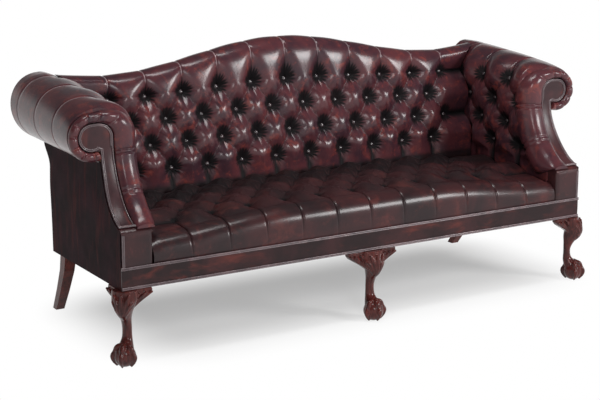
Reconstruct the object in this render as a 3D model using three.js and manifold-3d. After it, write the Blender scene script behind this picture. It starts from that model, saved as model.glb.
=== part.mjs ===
// Camelback sofa: rolled arms, deep buttoned leather over a hardwood frame, cabriole legs with
// ball and claw feet at the front and raked square legs at the rear.
// Millimetres, +Z up. X runs along the sofa, the front faces -Y and the floor is z = 0.
// The side called left is the one at -X, on the left hand of someone who faces the sofa.

import * as THREE from "three";
import Module from "manifold-3d";

const wasm = await Module();
wasm.setup();

// Driving dimensions of the whole sofa
const railHalfWidth = 981;
const railDepth = 590;
const railBottom = 257;
const railTop = 326;
const borderTop = 329;
const leather = 3;
const clearance = 0.3;
const cutOverrun = 2;
const weldScale = 1e4;
const armThickness = 113;
const armInnerX = railHalfWidth - armThickness;

// Height of buttoned leather along a fold, as a share of the puff
const foldHeightShare = 0.55;

// Inside back: a slab that leans back from the rear rail and rises to the camel hump
const leanDegrees = 12.65;
const backEndGap = 10;
const backHalfWidth = armInnerX - backEndGap;
const backPitch = 149.2;
const backRowSpacing = 89.4;
const backFirstRowHeight = 176.4;
const backButtonStandoff = 72.4;
const backPuffDepth = 45;
const backRows = 4;
const backEndMargin = 100;
const backColumnsHalf = Math.floor((backHalfWidth - backEndMargin) / backPitch);
const backBottomRow = -1;
const backTuckShare = 1 / 3;
const backSkinPoints = 3;
const backStuffingSkin = 6;
const saddleHeight = 857;
const humpRise = 106;
const wingRun = 158;
const humpHalfWidth = backHalfWidth - wingRun;
const wingRise = 15;
const humpRowLift = 25;
const crestRollHeight = 45;
const crestRollFront = 55;
const crestRollRear = 50;
const crestPleatDepth = 4;
const crestWeltDrop = 30;
const crestAngleShares = [0, 0.22, 0.45, 0.68, 0.88];

// Suspension: zigzag springs between the rails, burlap and a pad over them
const springPitch = 144;
const springWire = 3.6;
const springHalfWidth = 24;
const springEndGap = 230;
const springRungs = 10;
const springCrown = 13;
const springPlateau = 4;
const springHalfCount = Math.floor((railHalfWidth - springEndGap) / springPitch);
const lacingSink = 2;
const wireSides = 4;
const wireShare = 0.8;
const clipHalfWidth = 10;
const clipDepth = 11;
const clipInset = 21;
const clipSeatHeight = 1.5;
const clipBed = 1;
const burlapThickness = 2;
const burlapSteps = 6;
const burlapInset = 12;
const seatPadThickness = 9.5;

// Seat: one tight buttoned deck with a crown, pulled down at the ends
const seatStuffing = 105.5;
const seatSideGap = 18;
const seatHalfWidth = armInnerX - seatSideGap;
const seatPitch = 143.5;
const seatRowSpacing = 86.5;
const seatFirstRowInset = 140;
const seatPuffDepth = 30;
const seatEndMargin = 100;
const seatColumnsHalf = Math.floor((seatHalfWidth - seatEndMargin) / seatPitch);
const seatEdgeDrop = 10;
const seatEdgeFallShare = 0.72;
const seatCrownFallShare = 0.209;
const seatFallRun = 600;
const seatFallOverrun = 50;
const seatCrownRun = 130;
const seatNose = 2;
const seatNoseRound = 38;
const seatNoseShare = 0.6;
const seatNoseAngleShares = [1, 0.66, 0.33, 0];
const seatLipWidth = 16;
const seatFrontPleatDepth = 8;
const seatSideFall = 10;
const seatRearInset = 50;
const seatRows = 1 + Math.floor((railDepth - seatRearInset - seatFirstRowInset) / seatRowSpacing);
const seatRearFall = 50;
const seatCornerGap = 4;

// Arms: the front sweeps back in a hollow curve, the top rolls outward and grows to the rear
const armPitch = 160;
const armRowSpacing = 85.5;
const armFirstRowHeight = 520;
const armFirstColumnSetback = 225;
const armPuffDepth = 38;
const armRows = 4;
const armEndMargin = 40;
const armColumns = 1 + Math.floor((railDepth - armFirstColumnSetback - armEndMargin) / armPitch);
const armSkin = 8;
const armSkirt = 120;
const armBottom = armFirstRowHeight - armSkirt;
const armEdgePuff = 12;
const armRearPuff = 4;
const armLowRowShares = [-0.9, -0.45];
const armRollSteps = 11;
const armFadeRun = 34;
const armRearFadeStart = 130;
const armRearFadeEnd = 170;
const armFrontBehind = 8.5;
const lowFadeRun = 50;
const rollOverhang = 17;
const rollCentreX = railHalfWidth + rollOverhang;
const rollUnderside = 655;
const rollFrontRadius = 81;
const rollRearRadius = 122;
const rollWall = 30;
const rollPleatDepth = 4;
const rollGrowth = 0.55;
const rollBlendShare = 0.25;
const sweepDepth = 170;
const sweepHeight = 240;
const sweepPower = 1.65;
const sweepTop = 700;
const profileSteps = 48;
const liningSteps = 5;
const liningWallSteps = 9;
const cutRounds = 4;

// Front of the arm: base block, facing strip with its scroll, and the puffed band round them
const baseOverlap = 2;
const baseInnerX = armInnerX - baseOverlap;
const baseDepth = 50;
const baseTop = 455;
const baseRound = 14;
const baseTopSteps = 4;
const facingInset = 54;
const facingInnerX = armInnerX + facingInset;
const facingDiscRadius = 46;
const facingFootShare = 0.11;
const facingSweepSteps = 6;
const facingDiscSteps = 9;
const facingNeckStepShare = 0.01;
const bandInset = 21;
const bandCentreX = armInnerX + bandInset;
const bandHalfWidth = 31;
const bandRingRadius = 65;
const bandRingHalfWidth = 15.5;
const bandRise = 22;
const bandSeamDepth = 4;
const bandSections = 4;
const bandFootShare = 0.05;
const bandSweepSteps = 8;
const bandRingSteps = 14;
const bandEndDegrees = -102;
const bandSeamSteps = [3, 7];

// Outside panels
const sideLean = 10;
const sideLeanStart = 480;
const sideBendZ = 560;
const sideBendTop = 640;
const rollEndStepShare = 0.004;
const rollEndSteps = 5;
const panelFit = 0.8;
const panelSteps = 4;
const backTopJoinInset = 53;
const backTopJoinX = railHalfWidth - backTopJoinInset;
const slabSideInset = 51;
const slabSideX = railHalfWidth - slabSideInset;
const outsideBackColumns = 11;

// Buttons and welts
const buttonRadius = 9;
const buttonHeight = 7;
const buttonSides = 4;
const buttonRimShare = 0.4;
const weltRadius = 2.6;
const weltSides = 5;
const doubleWeltTurns = [-0.3, 0.6, 1.57, 2.5];

// Frame timber
const railThickness = 30;
const postThickness = 45;
const backPostWidth = 46;
const armPostDepth = 40;
const uprightX = 360;
const uprightWidth = 44;
const camelRailHeight = 62;
const camelRailFit = 1.5;
const crestBaseGap = 2.5;
const tuckRailHeight = 46;
const tuckRailRise = 48;
const stretcherX = 327;
const stretcherHeight = 46;
const cornerBlockLeg = 80;
const cornerBlockHeight = 44;

// Arm timber
const armTimberInset = 11;
const armTimberX = armInnerX + armTimberInset;
const armTuckRailGap = 2;
const armRailHalf = 20;
const armRailFrontOffset = 23;
const armRearPostWidth = 56;
const armRearPostSetback = 14;
const rearPostRise = 105;
const rearPostTop = rollUnderside + rearPostRise;
const facingBackGap = 5;
const facingBoardInset = 31.3;
const postSteps = 8;
const postNeckRise = 8;
const scrollHeadRadius = 42;
const scrollHeadSides = 20;

// Webbing, back pad and dust cover
const webbingWidth = 60;
const webbingThickness = 2;
const webbingPitch = 180;
const webbingEndGap = 100;
const webbingHalfCount = Math.floor((backHalfWidth - webbingEndGap) / webbingPitch);
const webbingBands = 2;
const webbingFirstHeight = 200;
const webbingBandPitch = 130;
const webbingTackDrop = 20;
const backPadTopGap = 6;
const dustCoverInset = 4;
const dustCoverCorner = 60;
const cambricThickness = 1;

// Legs
const footInset = 6;
const footSetback = 5;
const centreFootForward = 13;
const ballRadius = 37;
const ballCentreHeight = 35;
const ballSteps = 6;
const clawRadius = 8.5;
const clawSides = 5;
const clawTurnsDegrees = [0, 72, -72, 180];
const clawReachShares = [0.35, 0.68, 0.95, 1.07, 1.02, 0.75];
const clawRiseShares = [1, 0.78, 0.42, 0, -0.45, -0.82];
const clawSizeShares = [1, 1.15, 0.85, 1.1, 0.8, 0.45];
const legSides = 10;
const legHeightShares = [0.19, 0.29, 0.35, 0.42, 0.5, 0.6, 0.68, 0.76, 0.82, 0.875, 0.935, 1];
const legForwardShares = [-0.11, -0.43, -0.65, -0.71, -0.7, -0.54, -0.31, -0.18, -0.18, -0.22, -0.3, -0.34];
const legDeepShares = [0.81, 0.65, 0.45, 0.37, 0.39, 0.57, 0.84, 0.96, 0.97, 0.91, 0.81, 0.74];
const legWideShares = [0.81, 0.6, 0.49, 0.45, 0.45, 0.48, 0.62, 0.84, 1.03, 1.16, 1.19, 1.16];
const wingReach = 104;
const wingDrop = 70;
const wingThickness = 28;
const wingForward = 6;
const wingRunShares = [0.15, 0.37, 0.48, 0.54, 0.62, 0.73, 0.87, 0.96, 1, 1, 0.96, 0.15];
const wingDropShares = [1, 0.95, 0.82, 0.72, 0.74, 0.61, 0.5, 0.41, 0.3, 0.12, 0, 0];
const rearFootInset = 60;
const rearFootX = railHalfWidth - rearFootInset;
const rearFootSize = 32;
const rearTopSize = 44;
const rearFootSetback = 122;
const rearTopInset = 32;
const rearLegSplay = 14;
const rearLegShares = [0, 0.35, 0.7, 1];
const rearLegSwayShares = [0, 0.42, 0.8, 1];
const boltRadius = 4;
const boltLength = 56;
const boltSink = 22;
const boltSides = 8;
const boltHoleScale = 1.17;

// Places worked out from the driving dimensions
const lean = THREE.MathUtils.degToRad(leanDegrees);
const railFrontY = -railDepth / 2;
const railRearY = railDepth / 2;
const coverGap = leather + clearance;
const timberHalfWidth = railHalfWidth - coverGap;
const timberFrontY = railFrontY + coverGap;
const timberRearY = railRearY - coverGap;
const slabFootZ = borderTop;
const sweepFootY = railFrontY;
const sweepTopY = sweepFootY + sweepDepth;
const rollFrontCentreZ = rollUnderside + rollFrontRadius;
const rollOuterX = rollCentreX + rollFrontRadius;
const rollRearCentreX = rollOuterX - rollRearRadius;
const panelTop = rollUnderside - panelFit;
const armFirstColumnY = railFrontY + armFirstColumnSetback;
const armTopDistance = armFirstRowHeight + (armRows - 1) * armRowSpacing - armBottom;
const springWireZ = railTop + clipSeatHeight + springWire / 2;
const seatBurlapZ = springWireZ + springCrown + springWire / 2 + clearance;
const seatPadZ = seatBurlapZ + burlapThickness + clearance;
const seatUnderside = seatPadZ + seatPadThickness + clearance;
const seatCrownHeight = seatUnderside + seatStuffing;
const seatEdgeHeight = seatCrownHeight - seatEdgeDrop;
const seatFrontHalfWidth = baseInnerX - seatCornerGap;
const seatFallEnd = seatHalfWidth + seatFallOverrun;
const seatFallStart = seatFallEnd - seatFallRun;
const seatFirstRowY = railFrontY + seatFirstRowInset;
const seatFrontY = railFrontY + seatNose;
const seatRearY = railRearY - seatRearInset;

// Finishes
const oxblood = { color: 0x4a2226, roughness: 0.34, metalness: 0 };
const oxbloodDark = { color: 0x341a1e, roughness: 0.36, metalness: 0 };
const mahogany = { color: 0x5a1f1a, roughness: 0.26, metalness: 0 };
const beech = { color: 0xb98b5a, roughness: 0.7, metalness: 0 };
const steel = { color: 0x8d9094, roughness: 0.35, metalness: 1 };
const jute = { color: 0xa08a62, roughness: 0.95, metalness: 0 };
const cotton = { color: 0xe6e0d2, roughness: 0.95, metalness: 0 };
const cambric = { color: 0x1c1c1e, roughness: 0.95, metalness: 0 };

const sofa = new THREE.Group();

function addMesh(name, geometry, finish) {
  const mesh = new THREE.Mesh(geometry, new THREE.MeshStandardMaterial(finish));
  mesh.name = name;
  sofa.add(mesh);
  return mesh;
}

function vector(x, y, z) {
  return new THREE.Vector3(x, y, z);
}

function smooth(t) {
  const s = THREE.MathUtils.clamp(t, 0, 1);
  return s * s * (3 - 2 * s);
}

function mix(a, b, t) {
  return a + (b - a) * t;
}

// Geometry from numbered corners, turned so that its faces point out
function solid(points, faces) {
  let volume = 0;
  const cross = new THREE.Vector3();
  for (const [a, b, c] of faces) {
    volume += points[a].dot(cross.crossVectors(points[b], points[c]));
  }
  const geometry = new THREE.BufferGeometry();
  geometry.setAttribute("position", new THREE.Float32BufferAttribute(points.flatMap((p) => p.toArray()), 3));
  geometry.setIndex(faces.flatMap(([a, b, c]) => (volume < 0 ? [a, c, b] : [a, b, c])));
  geometry.computeVertexNormals();
  return geometry;
}

// Triangles of a closed outline, all turned the way the outline runs. It is drawn flat along
// the axis its own normal is closest to.
function outlineFaces(outline) {
  const normal = vector(0, 0, 0);
  outline.forEach((p, i) => normal.add(vector(0, 0, 0).crossVectors(p, outline[(i + 1) % outline.length])));
  const sizes = normal.toArray().map(Math.abs);
  const plane = ["x", "y", "z"].filter((_, i) => i !== sizes.indexOf(Math.max(...sizes)));
  const flat = outline.map((p) => new THREE.Vector2(p[plane[0]], p[plane[1]]));
  const faces = THREE.ShapeUtils.triangulateShape(flat.slice(), []);
  const turn = faces.reduce((sum, face) => sum + THREE.ShapeUtils.area(face.map((k) => flat[k])), 0);
  return faces.map(([a, b, c]) => (turn * THREE.ShapeUtils.area(flat) > 0 ? [a, b, c] : [a, c, b]));
}

// Faces between the two sides of an outline, whose last points run back along the first ones
function ladderFaces(outline, lastCount) {
  const faces = [];
  let a = 0;
  let b = outline.length - 1;
  const split = outline.length - lastCount;
  while (a < split - 1 || b > split) {
    const forward = a < split - 1 ? outline[a + 1].distanceTo(outline[b]) : Infinity;
    const backward = b > split ? outline[a].distanceTo(outline[b - 1]) : Infinity;
    if (forward <= backward) faces.push([a, (a += 1), b]);
    else faces.push([a, b - 1, (b -= 1) + 1]);
  }
  return faces;
}

// Closed body through a row of closed outlines with the same number of points
function loft(rings, turned = () => false, capFaces = outlineFaces) {
  const count = rings[0].length;
  const faces = [];
  for (let i = 0; i < rings.length - 1; i += 1) {
    for (let j = 0; j < count; j += 1) {
      const a = i * count + j;
      const b = i * count + ((j + 1) % count);
      const [c, d] = [b + count, a + count];
      if (turned(i, j)) faces.push([a, b, d], [b, c, d]);
      else faces.push([a, b, c], [a, c, d]);
    }
  }
  const last = (rings.length - 1) * count;
  for (const [a, b, c] of capFaces(rings[0])) faces.push([a, c, b]);
  for (const [a, b, c] of capFaces(rings[rings.length - 1])) faces.push([last + a, last + b, last + c]);
  return solid(rings.flat(), faces);
}

function box(minX, maxX, minY, maxY, minZ, maxZ) {
  const geometry = new THREE.BoxGeometry(maxX - minX, maxY - minY, maxZ - minZ);
  geometry.translate((minX + maxX) / 2, (minY + maxY) / 2, (minZ + maxZ) / 2);
  return geometry;
}

// Sides of the sofa: the same body on the right and, mirrored, on the left
function mirrored(geometry) {
  const position = geometry.getAttribute("position");
  const points = [];
  for (let i = 0; i < position.count; i += 1) {
    points.push(vector(-position.getX(i), position.getY(i), position.getZ(i)));
  }
  const faces = [];
  const index = geometry.getIndex().array;
  for (let i = 0; i < index.length; i += 3) faces.push([index[i], index[i + 1], index[i + 2]]);
  return solid(points, faces);
}

function addPair(name, geometry, finish) {
  addMesh(`right_${name}`, geometry, finish);
  addMesh(`left_${name}`, mirrored(geometry), finish);
}

// Several separate bodies in one geometry
function together(geometries) {
  const points = [];
  const faces = [];
  for (const geometry of geometries) {
    const offset = points.length;
    const position = geometry.getAttribute("position");
    const merged = new Map();
    const numbers = [];
    for (let i = 0; i < position.count; i += 1) {
      const p = vector(position.getX(i), position.getY(i), position.getZ(i));
      const key = p.toArray().map((v) => Math.round(v * weldScale)).join();
      if (!merged.has(key)) {
        merged.set(key, offset + merged.size);
        points.push(p);
      }
      numbers.push(merged.get(key));
    }
    const index = geometry.getIndex();
    const corners = index ? Array.from(index.array) : numbers.map((_, i) => i);
    for (let i = 0; i < corners.length; i += 3) {
      const face = [numbers[corners[i]], numbers[corners[i + 1]], numbers[corners[i + 2]]];
      if (new Set(face).size === 3) faces.push(face);
    }
  }
  return solid(points, faces);
}

function toManifold(geometry) {
  const whole = together([geometry]);
  return new wasm.Manifold(new wasm.Mesh({
    numProp: 3,
    vertProperties: new Float32Array(whole.getAttribute("position").array),
    triVerts: new Uint32Array(whole.getIndex().array),
  }));
}

function fromManifold(manifold) {
  const mesh = manifold.getMesh();
  const points = [];
  for (let i = 0; i < mesh.vertProperties.length; i += mesh.numProp) {
    points.push(vector(...mesh.vertProperties.slice(i, i + 3)));
  }
  const faces = [];
  for (let i = 0; i < mesh.triVerts.length; i += 3) faces.push(Array.from(mesh.triVerts.slice(i, i + 3)));
  return solid(points, faces);
}

function joined(first, ...rest) {
  return fromManifold(rest.reduce((sum, part) => sum.add(toManifold(part)), toManifold(first)));
}

function cut(first, ...rest) {
  return fromManifold(rest.reduce((sum, part) => sum.subtract(toManifold(part)), toManifold(first)));
}

// Height of buttoned leather between 0 at a button and 1 at the middle of a diamond.
// Places are counted in pitches across and rows up, and the buttons of each next row
// stand half a pitch on.
function diamond(across, up) {
  const rising = Math.abs(Math.sin(Math.PI * (across + up / 2)));
  const falling = Math.abs(Math.sin(Math.PI * (across - up / 2)));
  return foldHeightShare * Math.max(rising, falling) + (1 - foldHeightShare) * rising * falling;
}

// A field of buttons. Beyond its outer rows and columns straight pleats run on to the edge,
// and outside a corner button the leather rises again between two such pleats.
function fieldHeight(across, row, field) {
  const column = THREE.MathUtils.clamp(across, field.first, field.last);
  const level = THREE.MathUtils.clamp(row, 0, field.rows - 1);
  const beside = Math.min(Math.abs(across - column), 1 / 2);
  const beyond = Math.min(Math.abs(row - level), 1 / 2);
  if (beside > 0 && beyond > 0) {
    const corner = diamond(column + field.shift, level);
    return mix(Math.sin(Math.PI * beside) * Math.sin(Math.PI * beyond), 1, Math.round(corner));
  }
  return diamond(column + field.shift, level);
}

// Whether the rising edge of a quarter by half cell runs along a fold or across a diamond
function foldTurned(across, up) {
  const place = 2 * across + up;
  return Math.abs(place - Math.round(place)) < 1 / 8;
}

// A turned button whose tip reaches into the leather along the given normal
function button(place, normal, lift) {
  const profile = [
    new THREE.Vector2(0, -lift),
    new THREE.Vector2(buttonRadius, -lift),
    new THREE.Vector2(buttonRadius, buttonHeight * buttonRimShare),
    new THREE.Vector2(0, buttonHeight),
  ];
  const geometry = new THREE.LatheGeometry(profile, buttonSides);
  const turn = new THREE.Quaternion().setFromUnitVectors(vector(0, 1, 0), normal.clone().normalize());
  geometry.applyQuaternion(turn);
  const seat = place.clone().addScaledVector(normal.clone().normalize(), lift);
  geometry.translate(seat.x, seat.y, seat.z);
  return geometry;
}

// Leaned frame of the back: up the slab, and forward from its rear plane
function slabPoint(x, up, forward) {
  return vector(
    x,
    railRearY + up * Math.sin(lean) - forward * Math.cos(lean),
    slabFootZ + up * Math.cos(lean) + forward * Math.sin(lean),
  );
}

const slabNormal = vector(0, -Math.cos(lean), Math.sin(lean));
const crestMiddle = crestRollRear + clearance + leather;

function humpShare(x) {
  return (1 + Math.cos(Math.PI * Math.min(1, Math.abs(x) / humpHalfWidth))) / 2;
}

// How far up the slab the crest lies at a place along the sofa
function crestUp(x) {
  const wing = Math.max(0, (Math.abs(x) - humpHalfWidth) / (backHalfWidth - humpHalfWidth));
  const height = saddleHeight + humpRise * humpShare(x) + wingRise * wing ** 2;
  return (height - slabFootZ - crestMiddle * Math.sin(lean)) / Math.cos(lean);
}

function backRowUp(row, x) {
  const lift = humpRowLift * humpShare(x) * Math.max(0, row) / (backRows - 1);
  return backFirstRowHeight + row * backRowSpacing + lift;
}

// Buttoned front of the back. Above the last row straight pleats run over the crest,
// and below the first row they run down behind the seat.
const backField = { first: -backColumnsHalf, last: backColumnsHalf, rows: backRows, shift: 1 / 2 };

function backHeight(across, row) {
  return fieldHeight(across, row, backField);
}

function backFront(across, row) {
  const x = across * backPitch;
  const tuck = mix(backTuckShare, 1, smooth((row - backBottomRow) / (1 / 2 - backBottomRow)));
  const forward = backButtonStandoff + backPuffDepth * tuck * backHeight(across, row);
  return slabPoint(x, backRowUp(row, x), forward);
}

function backCrest(across, share) {
  const x = across * backPitch;
  const angle = Math.PI * share;
  const depth = Math.cos(angle) > 0 ? crestRollFront : crestRollRear;
  const sink = crestPleatDepth * (1 - backHeight(across, backRows));
  const up = crestUp(x) - crestRollHeight + (crestRollHeight - sink) * Math.sin(angle);
  return slabPoint(x, up, crestMiddle + (depth - sink * Math.max(0, Math.cos(angle))) * Math.cos(angle));
}

// The ends of the back follow the arms, which curl outward above their inner faces
function followArm(point, x) {
  const rise = Math.max(0, point.z - rollUnderside - rollRearRadius) / rollRearRadius;
  const width = rollRearCentreX - armInnerX;
  const shift = width * (1 - Math.sqrt(1 - Math.min(1, rise) ** 2));
  const start = backColumnsHalf * backPitch;
  const end = smooth((Math.abs(x) - start) / (backHalfWidth - start));
  return vector(point.x + Math.sign(x) * shift * end, point.y, point.z);
}

function backRing(across) {
  const ring = [];
  ring.push(backFront(across, backBottomRow));
  for (let row = 0; row <= backRows - 1; row += 1 / 2) ring.push(backFront(across, row));
  ring.push(ring[ring.length - 1].clone().lerp(backCrest(across, 0), 1 / 2));
  for (const share of crestAngleShares) ring.push(backCrest(across, share));
  const x = across * backPitch;
  const skin = backButtonStandoff - backStuffingSkin;
  ring.push(slabPoint(x, crestUp(x) - crestRollHeight, skin));
  ring.push(slabPoint(x, backRowUp(backRows - 1, x), skin));
  ring.push(slabPoint(x, backRowUp(backBottomRow, x), skin));
  return ring.map((point) => followArm(point, x));
}

const quarterSteps = Math.round(backHalfWidth / (backPitch / 4));

function tuftedBack() {
  const rings = [];
  for (let i = -quarterSteps; i <= quarterSteps; i += 1) {
    const atEnd = Math.abs(i) === quarterSteps;
    rings.push(backRing(atEnd ? (Math.sign(i) * backHalfWidth) / backPitch : i / 4));
  }
  const turned = (i, j) => foldTurned((i + 1 - quarterSteps) / 4 + 1 / 2, (j - 1) / 2);
  return loft(rings, turned, (outline) => ladderFaces(outline, backSkinPoints));
}

// Every button place of a field whose rows alternate between whole and half pitches
function buttonPlaces(rows, half, halvesFirst) {
  const places = [];
  for (let row = 0; row < rows; row += 1) {
    const shifted = (row % 2 === 0) === halvesFirst;
    const first = shifted ? -half + 1 / 2 : -half;
    for (let across = first; across <= half; across += 1) places.push([across, row]);
  }
  return places;
}

// How far a button's rim has to stand off the bottom of its hollow
function rimLift(puffDepth, pitch) {
  const stepHeight = puffDepth * Math.max(diamond(1 / 4, 0), diamond(1 / 4, 1 / 2));
  return (stepHeight * buttonRadius) / (pitch / 4) + clearance;
}

const backButtons = buttonPlaces(backRows, backColumnsHalf, true).map(([across, row]) => (
  button(backFront(across, row), slabNormal, rimLift(backPuffDepth, backPitch))));
addMesh("tufted_back", joined(tuftedBack(), ...backButtons), oxblood);

// Seat deck
function seatFall(x) {
  return smooth((Math.abs(x) - seatFallStart) / (seatFallEnd - seatFallStart));
}

function seatSurface(x, y) {
  const edge = seatEdgeHeight - seatEdgeFallShare * seatStuffing * seatFall(x);
  const crown = seatCrownHeight - seatCrownFallShare * seatStuffing * seatFall(x);
  return mix(edge, crown, smooth((y - railFrontY) / seatCrownRun));
}

const seatField = { first: -seatColumnsHalf, last: seatColumnsHalf, rows: seatRows, shift: 0 };

function seatHeight(across, row) {
  return fieldHeight(across, row, seatField);
}

function seatTop(x, across, row, sideFall = 0) {
  const y = seatFirstRowY + row * seatRowSpacing;
  const sink = seatPuffDepth * (1 - seatHeight(across, row));
  return vector(x, y, seatSurface(x, y) - sink - sideFall);
}

// Section of the seat: the deck from the rear, the round of its nose and the tucked-in lip
function seatRing(across, x, sideFall) {
  const ring = [];
  const lipY = seatFrontY + seatLipWidth;
  const lipZ = borderTop + clearance;
  const edgeZ = seatSurface(x, seatFrontY) - sideFall;
  const round = Math.min(seatNoseRound, (edgeZ - lipZ) * seatNoseShare);
  const pleat = 1 - seatHeight(across, -1);
  ring.push(vector(x, seatRearY, seatUnderside));
  const rearZ = seatSurface(x, seatRearY) - seatRearFall;
  ring.push(vector(x, seatRearY, rearZ));
  for (let row = seatRows - 1; row >= 0; row -= 1 / 2) ring.push(seatTop(x, across, row, sideFall));
  for (const share of seatNoseAngleShares) {
    const angle = (Math.PI / 2) * share;
    const sink = mix(seatFrontPleatDepth, seatPuffDepth / 2, share) * pleat;
    const y = seatFrontY + round - (round - sink) * Math.cos(angle);
    ring.push(vector(x, y, edgeZ - round + (round - sink) * Math.sin(angle)));
  }
  ring.push(vector(x, seatFrontY + seatNose, lipZ));
  ring.push(vector(x, lipY, lipZ));
  ring.push(vector(x, lipY, seatUnderside));
  return ring;
}

function tuftedSeat() {
  const steps = Math.floor(seatHalfWidth / (seatPitch / 4));
  const rings = [];
  const endShare = steps / 4;
  rings.push(seatRing(-endShare, -seatHalfWidth, seatSideFall));
  for (let i = -steps; i <= steps; i += 1) rings.push(seatRing(i / 4, (i / 4) * seatPitch, 0));
  rings.push(seatRing(endShare, seatHalfWidth, seatSideFall));
  for (const ring of [rings[0], rings[rings.length - 1]]) {
    for (const p of ring) {
      if (p.y < railFrontY + baseDepth) p.x = Math.sign(p.x) * seatFrontHalfWidth;
    }
  }
  return loft(rings, (i, j) => foldTurned((i - steps) / 4, (j - 2) / 2 - (seatRows - 1)));
}

addMesh("tufted_seat", tuftedSeat(), oxblood);

// Hollow curve that the front of each arm follows, moved back by a distance behind its face
function sweepY(z, behind = 0) {
  const drop = THREE.MathUtils.clamp((sweepTop - z) / (sweepHeight + behind), 0, 1);
  return sweepFootY + (sweepDepth + behind) * (1 - drop ** sweepPower) ** (1 / sweepPower);
}

// Arm profile from the seat, up the inside, over the roll and round under it, by distance
function rollRadius(y) {
  const run = THREE.MathUtils.clamp((y - sweepTopY) / (slabRear(rollUnderside).y - sweepTopY), 0, 1);
  return mix(rollFrontRadius, rollRearRadius, run ** rollGrowth);
}

function slabRear(z) {
  const up = (z - slabFootZ) / Math.cos(lean);
  return slabPoint(0, up, 0);
}

// The roll grows towards the rear and keeps its outer edge, so its centre moves inward
function rollAxisX(y) {
  return rollOuterX - rollRadius(y);
}

// Angle at which the cover under the roll meets the top edge of the outer panel
function rollClose(y) {
  const across = (panelX(panelTop) - rollAxisX(y)) / (rollRadius(y) - rollPleatDepth);
  return -Math.acos(THREE.MathUtils.clamp(across, -1, 1));
}

function armProfile(y) {
  const radius = rollRadius(y) - rollPleatDepth;
  const centreX = rollAxisX(y);
  const centreZ = rollUnderside + rollRadius(y);
  const line = [vector(armInnerX, y, armBottom), vector(armInnerX, y, centreZ)];
  for (let i = 1; i <= profileSteps; i += 1) {
    const angle = Math.PI - (Math.PI / 2) * (i / profileSteps);
    const width = centreX - armInnerX;
    line.push(vector(centreX + width * Math.cos(angle), y, centreZ + radius * Math.sin(angle)));
  }
  const close = rollClose(y);
  for (let i = 1; i <= profileSteps; i += 1) {
    const angle = mix(Math.PI / 2, close, i / profileSteps);
    line.push(vector(centreX + radius * Math.cos(angle), y, centreZ + radius * Math.sin(angle)));
  }
  return line;
}

// Point and outward normal at a distance along a profile in the XZ plane
function alongProfile(line, distance) {
  let left = distance;
  for (let i = 1; i < line.length; i += 1) {
    const step = line[i].distanceTo(line[i - 1]);
    if (left <= step || i === line.length - 1) {
      const point = line[i - 1].clone().lerp(line[i], Math.min(1, left / step));
      const run = line[i].clone().sub(line[i - 1]).normalize();
      return { point, normal: vector(-run.z, 0, run.x) };
    }
    left -= step;
  }
  return null;
}

function profileLength(line) {
  return line.slice(1).reduce((sum, p, i) => sum + p.distanceTo(line[i]), 0);
}

const armField = { first: 0, last: armColumns - 1 + 1 / 2, rows: armRows, shift: 0 };

function armHeight(across, row) {
  return fieldHeight(across, row, armField);
}

// Surface of the buttoned arm at a place along the sofa's depth and a distance up its profile
function armSurface(y, distance) {
  const line = armProfile(y);
  const total = profileLength(line);
  const { point, normal } = alongProfile(line, distance);
  const across = (y - armFirstColumnY) / armPitch;
  const row = (distance + armBottom - armFirstRowHeight) / armRowSpacing;
  const height = armHeight(across, row);
  const overRoll = smooth((distance - armTopDistance) / (total * rollBlendShare));
  const full = mix(armPuffDepth, rollPleatDepth, overRoll) * height;
  const frontGap = (y - sweepY(point.z, armFrontBehind)) / armFadeRun;
  const rise = mix(Math.min(full, armEdgePuff), full, smooth(frontGap));
  const low = mix(armEdgePuff, armPuffDepth, smooth((point.z - seatCrownHeight) / lowFadeRun));
  const forward = (slabRear(point.z).y - y) * Math.cos(lean);
  const rear = smooth((forward - armRearFadeStart) / (armRearFadeEnd - armRearFadeStart));
  const limit = overRoll > 1 / 2 ? rise : Math.min(rise, low);
  const lifted = overRoll > 1 / 2 ? limit : mix(Math.min(limit, armRearPuff), limit, rear);
  return point.clone().addScaledVector(normal, lifted);
}

// Cuts at the two ends of the arm: the wall follows the hollow and the roll ends upright
function armFrontY(point) {
  if (point.x > rollCentreX - rollFrontRadius) return sweepTopY + armFrontBehind;
  return Math.max(railFrontY + baseDepth + clearance, sweepY(point.z, armFrontBehind));
}

function armRearY(point) {
  return slabRear(point.z).y - (coverGap + clearance) / Math.cos(lean);
}

function armStations() {
  const columns = [];
  for (let i = 0; i <= 4 * (armColumns - 1); i += 1) columns.push(armFirstColumnY + (i / 4) * armPitch);
  return columns;
}

// Places up the profile: a distance over the seat, then a share of what is left of the roll
function armLevels() {
  const levels = [[0, 0]];
  for (const share of armLowRowShares) {
    levels.push([armFirstRowHeight + share * armRowSpacing - armBottom, 0]);
  }
  for (let row = 0; row <= armRows - 1; row += 1 / 2) {
    levels.push([armFirstRowHeight + row * armRowSpacing - armBottom, 0]);
  }
  for (let i = 1; i <= armRollSteps; i += 1) levels.push([armTopDistance, i / armRollSteps]);
  return levels;
}

// Section of the arm on a curved cut, whose depth depends on the height it has there
function armRing(yAt) {
  const ring = armLevels().map(([base, share]) => {
    let y = yAt(vector(armInnerX, 0, sweepTop));
    let distance = base;
    for (let i = 0; i < cutRounds; i += 1) {
      distance = mix(base, profileLength(armProfile(y)), share);
      y = yAt(armSurface(y, distance));
    }
    return armSurface(y, distance);
  });
  return ring.concat(armLining(yAt));
}

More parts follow.
